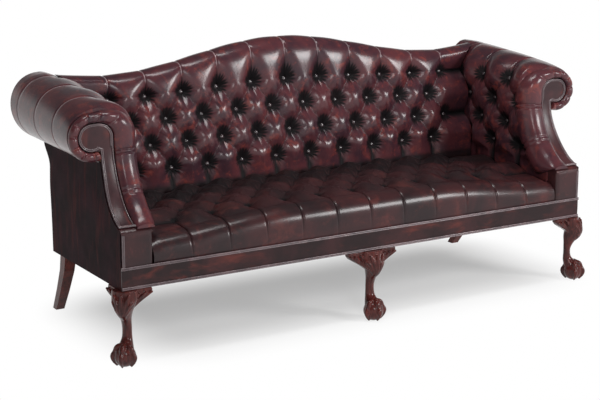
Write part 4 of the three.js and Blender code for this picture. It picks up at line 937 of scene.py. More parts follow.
@dataclass(frozen=True)
class SawnWood:
    """Pale frame timber straight from the plane."""

    name: str = "sawn_beech"
    light: Color = (0.52, 0.34, 0.19)
    dark: Color = (0.36, 0.21, 0.11)
    grain_stretch: Color = (0.08, 1.0, 1.0)
    grain: Noise = (110.0, 4.0, 0.6, 0.8)
    grain_levels: Span = (0.35, 0.7)
    fleck_stretch: Color = (0.2, 1.0, 1.0)
    flecks: Noise = (600.0, 2.0, 0.5)
    fleck_levels: Span = (0.6, 0.75)
    fleck_share: float = 0.5
    fleck_relief: Span = (0.2 * MM, 0.3)
    roughness: float = 0.6
    sheen_share: float = 0.2

    def make(self) -> bpy.types.Material:
        """Build the material."""
        shader = Shader(self.name)
        grain = shader.noise(shader.place(self.grain_stretch), self.grain)
        flecks = shader.noise(shader.place(self.fleck_stretch), self.flecks)
        color = shader.blend(grain.between(*self.grain_levels), self.light, self.dark)
        color = shader.blend(flecks.between(*self.fleck_levels) * self.fleck_share, color, self.dark)
        relief = shader.bump(flecks, *self.fleck_relief)
        return shader.surface(color, self.roughness + grain * self.sheen_share, relief)


@dataclass(frozen=True)
class WovenCloth:
    """Plain weave of crossed threads, for burlap, webbing and cambric."""

    name: str
    light: Color
    dark: Color
    threads: float = 25.0
    thread_height: float = 0.5 * MM
    thread_strength: float = 0.6
    distortion: float = 1.5
    slubs: Noise = (180.0, 3.0, 0.6)
    slub_levels: Span = (0.2, 0.8)
    roughness: float = 0.85
    sheen_share: float = 0.1

    def make(self) -> bpy.types.Material:
        """Build the material."""
        shader = Shader(self.name)
        where = shader.place()
        values = {"Vector": where, "Scale": self.threads, "Distortion": self.distortion}
        along, over = (shader.node("ShaderNodeTexWave", {"bands_direction": way}, values, "Fac")
                       for way in "XZ")
        weave = along.math("MAXIMUM", over)
        slub = shader.noise(where, self.slubs)
        color = shader.blend(weave * slub.between(*self.slub_levels), self.dark, self.light)
        relief = shader.bump(weave, self.thread_height, self.thread_strength)
        return shader.surface(color, self.roughness + slub * self.sheen_share, relief)


@dataclass(frozen=True)
class BrightSteel:
    """Spring wire with a faint drawn grain."""

    name: str = "spring_wire"
    dark: Color = (0.42, 0.43, 0.44)
    light: Color = (0.6, 0.61, 0.62)
    stretch: Color = (1.0, 0.1, 1.0)
    drawn: Noise = (900.0, 2.0, 0.5)
    relief: Span = (0.1 * MM, 0.2)
    roughness: float = 0.25
    sheen_share: float = 0.2

    def make(self) -> bpy.types.Material:
        """Build the material."""
        shader = Shader(self.name)
        drawn = shader.noise(shader.place(self.stretch), self.drawn)
        color = shader.blend(drawn, self.dark, self.light)
        relief = shader.bump(drawn, *self.relief)
        return shader.surface(color, self.roughness + drawn * self.sheen_share, relief, Metallic=1.0)


@dataclass(frozen=True)
class LoftyCotton:
    """Unspun stuffing with soft lumps and stray fibres."""

    name: str = "cotton_wadding"
    dark: Color = (0.68, 0.64, 0.55)
    light: Color = (0.80, 0.78, 0.71)
    lumps: Noise = (40.0, 4.0, 0.6)
    lump_levels: Span = (0.3, 0.7)
    fibre_stretch: Color = (1.0, 0.3, 1.0)
    fibres: Noise = (500.0, 4.0, 0.7, 1.0)
    fibre_share: float = 0.3
    relief: Span = (3 * MM, 0.5)
    roughness: float = 0.9
    sheen_share: float = 0.08

    def make(self) -> bpy.types.Material:
        """Build the material."""
        shader = Shader(self.name)
        lumps = shader.noise(shader.place(), self.lumps)
        fibre = shader.noise(shader.place(self.fibre_stretch), self.fibres)
        color = shader.blend(lumps.between(*self.lump_levels), self.dark, self.light)
        relief = shader.bump(lumps + fibre * self.fibre_share, *self.relief)
        return shader.surface(color, self.roughness + fibre * self.sheen_share, relief)


class Finishes:
    """All materials of the sofa, each made once."""

    def __init__(self) -> None:
        """Build every material."""
        self.leather = AgedLeather().make()
        self.seat = AgedLeather("seat_leather", (0.019, 0.0095, 0.0110), (0.042, 0.0135, 0.0150),
                                (0.115, 0.027, 0.0235), wear=0.6, roughness=0.36, patch_scale=4.5,
                                coat=0.40).make()
        self.panel = StretchedLeather().make()
        self.border = StretchedLeather("border_leather_finish", (0.020, 0.0105, 0.0115),
                                       (0.045, 0.0165, 0.018), (0.130, 0.030, 0.024), 0.85, 0.32, 0.22,
                                       streak_stretch=(0.35, 1.0, 1.0), streak_scale=22.0).make()
        self.facing = StretchedLeather("facing_leather_finish", (0.034, 0.0150, 0.0175),
                                       (0.070, 0.0245, 0.028), (0.150, 0.034, 0.028), 0.8, 0.34, 0.3,
                                       streak_stretch=(1.0, 1.0, 0.5), streak_scale=14.0).make()
        # Painted highlight: the cords' leather is several times lighter than the hide, standing for the
        # light their round welts catch.
        self.welt = StretchedLeather("welt_leather_painted_highlight", (0.105, 0.078, 0.084),
                                     (0.170, 0.120, 0.128), (0.210, 0.130, 0.130),
                                     roughness=0.26, gloss=0.5).make()
        self.button = StretchedLeather("button_leather", (0.030, 0.022, 0.025),
                                       (0.060, 0.040, 0.045), (0.090, 0.050, 0.050),
                                       roughness=0.16, gloss=0.9).make()
        self.wood = PolishedWood().make()
        self.carved = PolishedWood("carved_mahogany", (0.030, 0.0080, 0.0078), (0.110, 0.0230, 0.0190),
                                   roughness=0.22, coat=0.3).make()
        self.timber = SawnWood().make()
        self.jute = WovenCloth("jute_weave", (0.42, 0.30, 0.16), (0.20, 0.13, 0.07)).make()
        self.cambric = WovenCloth("black_cambric", (0.02, 0.02, 0.022), (0.008, 0.008, 0.009), threads=60.0,
                                  thread_height=0.2 * MM).make()
        self.steel = BrightSteel().make()
        self.cotton = LoftyCotton().make()


@dataclass
class SubAssembly:
    """What all sub-assemblies share: putting a finished piece into the scene."""

    finishes: Finishes

    def install(self, piece: bpy.types.Object, material: bpy.types.Material, node: str = "",
                fill: float | None = None, slot: str = "cover_leather") -> None:
        """Dress a piece and let it ride on the frame.

        Args:
            piece: The finished object.
            material: Its finish.
            node: CAD node that the piece stands for, if any.
            fill: How full a padded piece is, or None; not used.
            slot: The record's slot that the finish belongs to; not used.
        """
        piece.data.materials.clear()
        piece.data.materials.append(material)
        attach(piece, BODY)
        if node:
            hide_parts(node)
        log.info("%s: %d faces", piece.name, len(piece.data.polygons))


def choose(*pieces: bpy.types.Object) -> None:
    """Select these pieces alone, so that the next operator acts on nothing else."""
    bpy.ops.object.select_all(action="DESELECT")
    for piece in pieces:
        piece.select_set(True)
    if pieces:
        bpy.context.view_layer.objects.active = pieces[0]


def cut_below(height: float) -> None:
    """Cut the active piece off level, take away what is below and close it."""
    bpy.ops.object.mode_set(mode="EDIT")
    bpy.ops.mesh.select_all(action="SELECT")
    bpy.ops.mesh.bisect(plane_co=(0, 0, height), plane_no=(0, 0, 1), clear_inner=True, use_fill=True)
    bpy.ops.object.mode_set(mode="OBJECT")


def pulled_form(path: Array, sizes: Array, corners: int = 20) -> bpy.types.Object:
    """Pull a flat face upward or downward through level sections, scaling it at each.

    Args:
        path: Middle of each section.
        sizes: Half width along X and half depth along Y of each section.
        corners: Corners of the face; 4 makes a rectangle.

    Returns:
        The closed form.
    """
    choose()
    if corners == 4:
        bpy.ops.mesh.primitive_plane_add(size=2)
    else:
        bpy.ops.mesh.primitive_circle_add(vertices=corners, radius=1, fill_type="NGON")
    piece = bpy.context.object
    bpy.ops.object.mode_set(mode="EDIT")
    bpy.ops.mesh.select_all(action="SELECT")
    bpy.ops.transform.resize(value=(*sizes[0], 1), center_override=(0, 0, 0))
    bpy.ops.transform.translate(value=tuple(path[0]))
    for before, place, small, size in zip(path, path[1:], sizes, sizes[1:]):
        move = {"value": tuple(place - before), "orient_type": "GLOBAL"}
        bpy.ops.mesh.extrude_region_move(TRANSFORM_OT_translate=move)
        growth = (size[0] / small[0], size[1] / small[1], 1)
        bpy.ops.transform.resize(value=growth, center_override=tuple(place))
    bpy.ops.mesh.select_all(action="SELECT")
    bpy.ops.mesh.normals_make_consistent(inside=False)
    bpy.ops.object.mode_set(mode="OBJECT")
    return piece


def merged(pieces: list[bpy.types.Object], name: str) -> bpy.types.Object:
    """Join pieces into one object under a name."""
    choose(*pieces)
    bpy.ops.object.join()
    pieces[0].name = name
    return pieces[0]


def refined(piece: bpy.types.Object, kind: str, **settings: float | str | bool) -> None:
    """Apply one modifier to a piece.

    Args:
        piece: The piece.
        kind: Blender's type of the modifier.
        **settings: The modifier's settings.
    """
    choose(piece)
    modifier = piece.modifiers.new(kind.lower(), kind)
    for name, value in settings.items():
        setattr(modifier, name, value)
    bpy.ops.object.modifier_apply(modifier=modifier.name)


def curve_through(places: Array, steps: int) -> Array:
    """Even places on the smooth curve through given rows of numbers.

    Args:
        places: Rows to pass through.
        steps: Steps from the first to the last.

    Returns:
        The rows of the curve.
    """
    ends = np.concatenate([2 * places[:1] - places[1:2], places, 2 * places[-1:] - places[-2:-1]])
    at = spread(0, len(places) - 1, steps)
    index = np.minimum(at.astype(int), len(places) - 2)
    t = (at - index)[:, None]
    p0, p1, p2, p3 = (ends[index + k] for k in range(4))
    return bent(p1, p2, (p2 - p0) / 2, (p3 - p1) / 2, t)


@dataclass
class LeatherButton:
    """A covered button: a dome with a soft rim, modelled once and copied."""

    radius: float = 9 * MM
    height: float = 6.5 * MM
    segments: int = 16
    rings: int = 8
    rim_share: float = 0.55

    def model(self) -> bpy.types.Mesh:
        """Shape the button from a flattened sphere that is cut off below its rim.

        Returns:
            A mesh that stands on the origin and points along +Z.
        """
        choose()
        bpy.ops.mesh.primitive_uv_sphere_add(segments=self.segments, ring_count=self.rings,
                                             radius=self.radius)
        piece = bpy.context.object
        bpy.ops.object.mode_set(mode="EDIT")
        bpy.ops.transform.resize(value=(1, 1, self.height / self.radius))
        cut_below(-self.height * self.rim_share)
        data = piece.data.copy()
        bpy.data.objects.remove(piece)
        return data

    def set_at(self, name: str, places: Array, normals: Array) -> bpy.types.Object:
        """Copy the button to every place and join the copies.

        Args:
            name: Name of the joined piece.
            places: Where the buttons sit, in the builder's frame.
            normals: Which way each one points.

        Returns:
            One object with all buttons.
        """
        model = self.model()
        corner = np.array([v.co[:] for v in model.vertices])
        loops = [tuple(face.vertices) for face in model.polygons]
        skin = Skin()
        for place, normal in zip(places, normals):
            turn = np.array(Vector(normal).to_track_quat("Z", "Y").to_matrix())
            first = skin.add(corner @ turn.T + place)
            skin.faces += [tuple(first + k for k in loop) for loop in loops]
        return skin.mesh(name)


def button_rows(rows: int, half: int, halves_first: bool) -> Array:
    """Column and row of every button of a field whose rows stand half a pitch apart."""
    places = []
    for row in range(rows):
        shifted = (row % 2 == 0) == halves_first
        first = -half + (0.5 if shifted else 0.0)
        count = 2 * half + (0 if shifted else 1)
        places += [(first + k, float(row)) for k in range(count)]
    return np.array(places)


@dataclass(frozen=True)
class TuftLook:
    """What the leather's finish reads from each point of a buttoned field."""

    tufts: TuftField
    pitch: float
    spacing: float
    pit_size: float = 34 * MM
    pit_rise: float = 0.06
    low_factor: float = 1.5
    low_share: float = 0.55
    fold_width: float = 7 * MM

    def values(self, across: Array, row: Array) -> dict[str, Array]:
        """How hollow, how folded and in which direction of its button each place lies.

        Args:
            across: Places along the field, in pitches.
            row: Places up the field, in rows.

        Returns:
            Values by attribute name.
        """
        # hollow holds a dark halo round each button, set a little above it, and the low ground between the
        # puffs; crease marks the fold lines. The finish paints both as antique darkening and painted shade.
        step, rise = self.tufts.offset(across, row)
        fold = 1 - np.clip(self.tufts.crease(across, row) * self.pitch / self.fold_width, 0, 1)
        reach = np.hypot(step * self.pitch, (rise - self.pit_rise) * self.spacing)
        pit = np.exp(-((reach / self.pit_size) ** 2))
        low = np.clip(1 - self.tufts.height(across, row) * self.low_factor, 0, 1)
        way = points(step * self.pitch, rise * self.spacing, 0)
        return {"hollow": np.maximum(pit, self.low_share * low), "crease": fold, "button_way": way}

    def seam(self, across: Array, row: Array, half_width: float) -> Array:
        """Thin seam that continues a pleat over a roll, 1 on its line."""
        distance = self.tufts.crease(across, row) * self.pitch / np.pi
        return np.exp(-((distance / half_width) ** 2))


def faded(value: Array, beyond: Array, start: float, rate: float) -> Array:
    """Value that fades away with the distance beyond the buttoned field."""
    return value * np.clip(start - beyond * rate, 0, 1)


def joined_values(parts: list[dict[str, Array]], hidden: int) -> dict[str, Array]:
    """Join values side by side and add zeros for points that are out of sight.

    Args:
        parts: Values by attribute name, as rings by points.
        hidden: How many points of each ring are out of sight.

    Returns:
        Values by attribute name, for whole rings.
    """
    joined = {}
    for name, value in parts[0].items():
        blank = np.zeros((len(value), hidden, *value.shape[2:]))
        joined[name] = np.concatenate([*(part[name] for part in parts), blank], axis=1)
    return joined


def even_values(hollow: Array, shape: tuple[int, ...]) -> dict[str, Array]:
    """Values of leather without buttons, which is darkened only by the painted shade given as hollow."""
    return {"hollow": np.broadcast_to(hollow, shape), "crease": np.zeros(shape),
            "button_way": np.ones((*shape, 3))}


@dataclass
class InsideBack(SubAssembly):
    """The buttoned back: diamonds between offset buttons, pleats over the camel crest."""

    pitch: float = 149.2 * MM
    row_spacing: float = 89.4 * MM
    first_row: float = 176.4 * MM
    standoff: float = 72.4 * MM
    tuck_standoff: float = 60 * MM
    puff: float = 45 * MM
    rows: int = 4
    columns_half: int = 5
    row_lift: float = 25 * MM
    seam_depth: float = 3.2 * MM
    seam_half: float = 4.5 * MM
    seam_line: float = 2.2 * MM
    button_sink: float = 3.2 * MM
    tuck_run: float = 0.4
    tuck_rows: float = 1.5
    fade_rows: float = 0.5
    end_fade: float = 0.15
    back_low_row: float = -0.9
    crest_rows: float = 2.2
    hollow_fade: Span = (1.05, 1.1)
    crease_fade: Span = (1.2, 1.2)
    seam_start: float = 0.35
    seam_run: float = 0.4
    slope_step: float = 0.01
    slope_length: float = 1 * MM
    least_depth: float = 1e-3
    scallop_depth: float = 2.0 * MM
    low_row: float = -1.35
    low_shade: float = 0.44
    shade_row: float = -0.35
    shade_run: float = 0.45
    tuck_share: float = 1 / 3
    skin_depth: float = 6 * MM
    crest_start_share: float = 0.2
    crest_end_share: float = 0.88
    fold_narrowing: float = 2.5
    fold_fade: float = 1.7
    cell_steps: int = 48
    pleat_steps: int = 24
    crest_steps: int = 28
    tufts: TuftField = field(default_factory=lambda: TuftField(-5, 5, 4, 0.5))

    @property
    def look(self) -> TuftLook:
        """What the finish reads from the back."""
        return TuftLook(self.tufts, self.pitch, self.row_spacing)

    def row_up(self, row: Array, x: Array) -> Array:
        """How far up the slab a row lies; the hump lifts the upper rows."""
        lift = self.row_lift * SIZES.hump_share(x) * np.maximum(0, row) / (self.rows - 1)
        return self.first_row + row * self.row_spacing + lift

    def standoff_at(self, row: Array) -> Array:
        """Distance of the pulls from the rear plane; the leather tucks in behind the seat."""
        return mix(self.tuck_standoff, self.standoff, smooth((row - self.low_row) / self.tuck_run))

    def front(self, across: Array, row: Array) -> Array:
        """Surface of the buttoned field."""
        x = across * self.pitch
        tuck = mix(self.tuck_share, 1, smooth((row + 1) / self.tuck_rows))
        forward = self.standoff_at(row) + self.puff * tuck * self.tufts.height(across, row)
        return SIZES.slab_point(x, self.row_up(row, x), forward)

    def crest(self, across: Array, share: Array) -> Array:
        """Surface of the crest roll, from its front at 0 towards its rear at 1."""
        x = across * self.pitch
        angle = np.pi * share
        depth = np.where(np.cos(angle) > 0, SIZES.crest_roll_front, SIZES.crest_roll_rear)
        sink = self.scallop_depth * (1 - self.tufts.height(across, self.rows))
        sink = sink + self.seam_depth * self.look.seam(across, self.rows, self.seam_half)
        height = SIZES.crest_roll_height
        up = SIZES.crest_up(x) - height + (height - sink) * np.sin(angle)
        forward = SIZES.crest_middle + (depth - sink * np.maximum(0, np.cos(angle))) * np.cos(angle)
        return SIZES.slab_point(x, up, forward)

    def follow_arm(self, place: Array, x: Array) -> Array:
        """Shift the ends outward where the arms curl away above their inner faces."""
        radius = SIZES.roll_rear_radius
        rise = np.maximum(0, place[..., 2] - SIZES.roll_underside - radius) / radius
        shift = (SIZES.roll_rear_axis - SIZES.arm_inner) * (1 - np.sqrt(1 - np.minimum(1, rise) ** 2))
        start = self.columns_half * self.pitch
        end = smooth((np.abs(x) - start) / (SIZES.back_half_width - start))
        place[..., 0] += np.sign(x) * shift * end
        return place

    def pleats(self, across: Array, top: Array) -> Array:
        """Surface between the uppermost buttons and the crest, bent evenly from one to the other.

        Args:
            across: Places along the back, in pitches, as a column.
            top: Points at the uppermost row.

        Returns:
            Points as columns by steps by 3, without the two ends.
        """
        rise = spread(0, 1, self.pleat_steps)[1:-1][None, :, None]
        x = across * self.pitch
        row_up = self.row_up(self.rows - 1, x)
        start = SIZES.slab_point(x, row_up, self.standoff + self.puff)
        upward = SIZES.slab_point(x, row_up + self.slope_length, self.standoff + self.puff) - start
        end = self.crest(across, self.crest_start_share)
        onward = self.crest(across, self.crest_start_share + self.slope_step) - end
        length = np.linalg.norm(end - start, axis=-1, keepdims=True)
        leave, arrive = (way / np.linalg.norm(way, axis=-1, keepdims=True) * length
                         for way in (upward, onward))
        depth = 1 - self.tufts.height(across, self.rows - 1)
        narrow = np.maximum(depth, self.least_depth)[..., None] ** (self.fold_narrowing * rise)
        return bent(start, end, leave, arrive, rise) + (top - start) * narrow * (1 - rise) ** self.fold_fade

    def build(self) -> None:
        """Make the back and its buttons."""
        step = self.cell_steps
        edge = round(SIZES.back_half_width / self.pitch * step) / step
        across = spread(-edge, edge, round(2 * edge * step))[:, None]
        low_steps = round(-self.low_row * step / 2)
        rows = stations((self.low_row, 0, low_steps), (0, self.rows - 1, (self.rows - 1) * step // 2))
        rows = rows[None, :]
        lift = ButtonPull(self.pitch, self.row_spacing).lift(self.tufts, across, rows)
        end_fade = smooth((edge - np.abs(across)) / self.end_fade)
        fade = smooth((rows - self.low_row) / self.fade_rows) * end_fade
        field_part = self.front(across, rows) + SIZES.slab_normal * (lift * fade)[..., None]
        values = self.look.values(across, rows)
        # Painted shade: darker towards the lowest rows, where the back tucks in behind the seat.
        shade = self.low_shade * np.clip((self.shade_row - rows) / self.shade_run, 0, 1)
        values["hollow"] = np.maximum(values["hollow"], shade)
        values["seam"] = np.zeros(values["crease"].shape)
        pleat_part = self.pleats(across, field_part[:, -1:])
        crest_shares = spread(self.crest_start_share, self.crest_end_share, self.crest_steps)
        crest_part = self.crest(across, crest_shares[None, :])
        x = across * self.pitch
        skin = self.standoff - self.skin_depth
        backs = [SIZES.slab_point(x, SIZES.crest_up(x) - SIZES.crest_roll_height, skin),
                 SIZES.slab_point(x, self.row_up(self.rows - 1, x), skin),
                 SIZES.slab_point(x, self.row_up(self.back_low_row, x), skin),
                 SIZES.slab_point(x, self.row_up(self.low_row, x), self.tuck_standoff - self.skin_depth)]
        ring = np.concatenate([field_part, pleat_part, crest_part, *backs], axis=1)
        ring = self.follow_arm(ring, np.broadcast_to(x, ring.shape[:2]))
        above = self.values_above(across, pleat_part.shape[1] + crest_part.shape[1])
        middles = (across[:-1] + across[1:]) / 2, (rows[:, :-1] + rows[:, 1:]) / 2
        turned = np.ones((len(ring) - 1, ring.shape[1]), dtype=bool)
        turned[:, :rows.shape[1] - 1] = ~self.tufts.falls(*middles)
        body = loft_skin(ring, joined_values([values, above], len(backs)), len(backs), turned)
        self.install(body.mesh("buttoned_back"), self.finishes.leather, "tufted_back", 0.9)
        self.set_buttons()

    def values_above(self, across: Array, count: int) -> dict[str, Array]:
        """Values of the pleats and the crest, whose darkening fades upward.

        Args:
            across: Places along the back, in pitches, as a column.
            count: Points from the uppermost row to the rear of the crest.

        Returns:
            Values by attribute name.
        """
        beyond = self.crest_rows * spread(0, 1, count)[1:][None, :]
        level = self.rows - 1 + beyond
        values = self.look.values(across, level)
        values["hollow"] = faded(values["hollow"], beyond, *self.hollow_fade)
        values["crease"] = faded(values["crease"], beyond, *self.crease_fade)
        # Painted highlight: a thin light line along each seam over the crest.
        line = self.look.seam(across, level, self.seam_line)
        values["seam"] = line * smooth((beyond - self.seam_start) / self.seam_run)
        return values

    def set_buttons(self) -> None:
        """Cover buttons at the pulls of the back."""
        spots = button_rows(self.rows, self.columns_half, True)
        places = self.front(spots[:, 0], spots[:, 1]) + SIZES.slab_normal * self.button_sink
        normals = np.tile(SIZES.slab_normal, (len(spots), 1))
        self.install(LeatherButton().set_at("back_buttons", places, normals), self.finishes.button)


@dataclass
class SeatDeck(SubAssembly):
    """Tight buttoned seat, crowned in its middle and pulled down at its ends."""

    pitch: float = 143.5 * MM
    row_spacing: float = 86.5 * MM
    first_inset: float = 140 * MM
    puff: float = 32 * MM
    rows: int = 5
    edge_height: float = 456 * MM
    crown_height: float = 474 * MM
    edge_fall: float = 44 * MM
    crown_fall: float = 22 * MM
    fall_start: float = 300 * MM
    fall_end: float = 900 * MM
    crown_run: float = 130 * MM
    nose: float = 2 * MM
    lip: float = 16 * MM
    front_pleat: float = 4 * MM
    nose_pleat: float = 6 * MM
    side_drop: float = 10 * MM
    rear_shade: float = 0.48
    shade_row: float = 0.8
    shade_run: float = 1.7
    rear: float = 245 * MM
    rear_drop: float = 50 * MM
    half_width: float = 850 * MM
    front_half_width: float = 862 * MM
    underside: float = 356.5 * MM
    nose_round: float = 68 * MM
    nose_share: float = 0.74
    lead_swell: float = 3 * MM
    nose_seam: float = 3.2 * MM
    nose_fold_share: float = 0.15
    pit_size: float = 15 * MM
    inner_pitches: float = 0.75
    nose_level: float = -1.6
    foot_level: float = -2.0
    hollow_start: float = 0.9
    hollow_rate: float = 0.6
    hollow_limits: Span = (0.08, 0.85)
    crease_start: float = 1.3
    crease_rate: float = 0.35
    block_run_share: float = 0.3
    cell_steps: int = 44
    lead_steps: int = 20
    nose_steps: int = 16
    skirt_steps: int = 9
    tufts: TuftField = field(default_factory=lambda: TuftField(-5, 5, 5, 0.0))

    @property
    def look(self) -> TuftLook:
        """What the finish reads from the seat."""
        return TuftLook(self.tufts, self.pitch, self.row_spacing, self.pit_size)

    @property
    def pull(self) -> ButtonPull:
        """The creases at the buttons of the seat."""
        return ButtonPull(self.pitch, self.row_spacing, spokes=9, depth=1.5 * MM, level_share=0.0)

    @property
    def front(self) -> float:
        """Depth of the seat's front face."""
        return SIZES.rail_front + self.nose

    @property
    def lip_height(self) -> float:
        """Height of the lower edge of the front face, just over the border."""
        return SIZES.border_top + SIZES.clearance

    @property
    def inner(self) -> float:
        """Distance from the middle at which the ends begin to be pulled down."""
        return (self.tufts.last + self.inner_pitches) * self.pitch

    def fall(self, x: Array) -> Array:
        """Share of the fall towards the ends."""
        return smooth((np.abs(x) - self.fall_start) / (self.fall_end - self.fall_start))

    def surface(self, x: Array, y: Array) -> Array:
        """Height of the deck before it is buttoned."""
        edge = self.edge_height - self.edge_fall * self.fall(x)
        crown = self.crown_height - self.crown_fall * self.fall(x)
        return mix(edge, crown, smooth((y - SIZES.rail_front) / self.crown_run))

    def end_drop(self, x: Array) -> Array:
        """How far the ends are pulled down beside the arms."""
        return self.side_drop * smooth((np.abs(x) - self.inner) / (self.half_width - self.inner))

    def deck(self, across: Array, rows: Array) -> Array:
        """Buttoned top of the seat."""
        x = across * self.pitch
        y = SIZES.rail_front + self.first_inset + rows * self.row_spacing
        sink = self.puff * (1 - self.tufts.height(across, rows)) - self.pull.lift(self.tufts, across, rows)
        return points(x, y, self.surface(x, y) - sink - self.end_drop(x))

    def nose_curve(self, across: Array) -> Array:
        """Round front edge, pleated below the buttons of the first row."""
        x = across * self.pitch
        edge_z = self.surface(x, self.front) - self.end_drop(x)
        size = np.minimum(self.nose_round, (edge_z - self.lip_height) * self.nose_share)
        fold = 1 - self.tufts.height(across, -1)
        share = spread(1, 0, self.nose_steps)[None, :]
        depth = mix(self.front_pleat, self.nose_pleat, share)
        bend = depth * mix(self.look.seam(across, -1, self.nose_seam), fold, self.nose_fold_share)
        angle = np.pi / 2 * share
        y = self.front + size - (size - bend) * np.cos(angle)
        z = edge_z - size + (size - bend) * np.sin(angle)
        return points(x, y, z)

    def build(self) -> None:
        """Make the seat."""
        edge = self.half_width / self.pitch
        across = np.clip(spread(-6, 6, 12 * self.cell_steps), -edge, edge)
        across = np.unique(across)[:, None]
        x = across * self.pitch
        rows = spread(self.rows - 1, 0, (self.rows - 1) * self.cell_steps // 2)[None, :]
        deck = self.deck(across, rows)
        nose = self.nose_curve(across)
        lead_share = spread(0, 1, self.lead_steps)[1:-1]
        lead = mix(deck[:, -1:], nose[:, :1], lead_share[None, :, None])
        swell = self.lead_swell * np.sin(np.pi * lead_share)[None, :]
        lead[..., 2] += swell * self.tufts.height(across, -1)
        foot = points(x, self.front + self.nose, self.lip_height)
        skirt = mix(nose[:, -1:], foot, spread(0, 1, self.skirt_steps)[1:][None, :, None])
        rear = points(x, self.rear, self.surface(x, self.rear) - self.rear_drop)
        ends = [points(x, self.front + self.lip, self.lip_height),
                points(x, self.front + self.lip, self.underside), points(x, self.rear, self.underside)]
        ring = np.concatenate([rear, deck, lead, nose, skirt, *ends], axis=1)
        self.widen(ring)
        level = np.concatenate([
            [self.rows - 1.0], rows[0], spread(0, -1, self.lead_steps)[1:-1],
            spread(-1, self.nose_level, self.nose_steps),
            spread(self.nose_level, self.foot_level, self.skirt_steps)[1:], [self.foot_level] * len(ends)])
        values = self.look.values(across, level[None, :])
        # Painted shade: darker towards the rear rows under the back, and all darkening is weakened over the
        # nose and the front skirt.
        shade = self.rear_shade * np.clip((level - self.shade_row) / self.shade_run, 0, 1)
        light = np.clip(self.hollow_start + level * self.hollow_rate, *self.hollow_limits)
        values["hollow"] = np.maximum(values["hollow"], shade) * light
        values["crease"] = faded(values["crease"], -level, self.crease_start, self.crease_rate)
        piece = loft_skin(ring, values, len(ends)).mesh("buttoned_seat")
        self.install(piece, self.finishes.seat, "tufted_seat", 0.85)

    def widen(self, ring: Array) -> None:
        """Let the front corners reach out in front of the arms, between the base blocks."""
        outward = smooth((np.abs(ring[..., 0]) - self.inner) / (self.half_width - self.inner))
        block_end = SIZES.rail_front + SIZES.base_depth
        before_arm = smooth((block_end - ring[..., 1]) / (self.block_run_share * SIZES.base_depth))
        reach = self.front_half_width - self.half_width
        ring[..., 0] += np.sign(ring[..., 0]) * outward * before_arm * reach


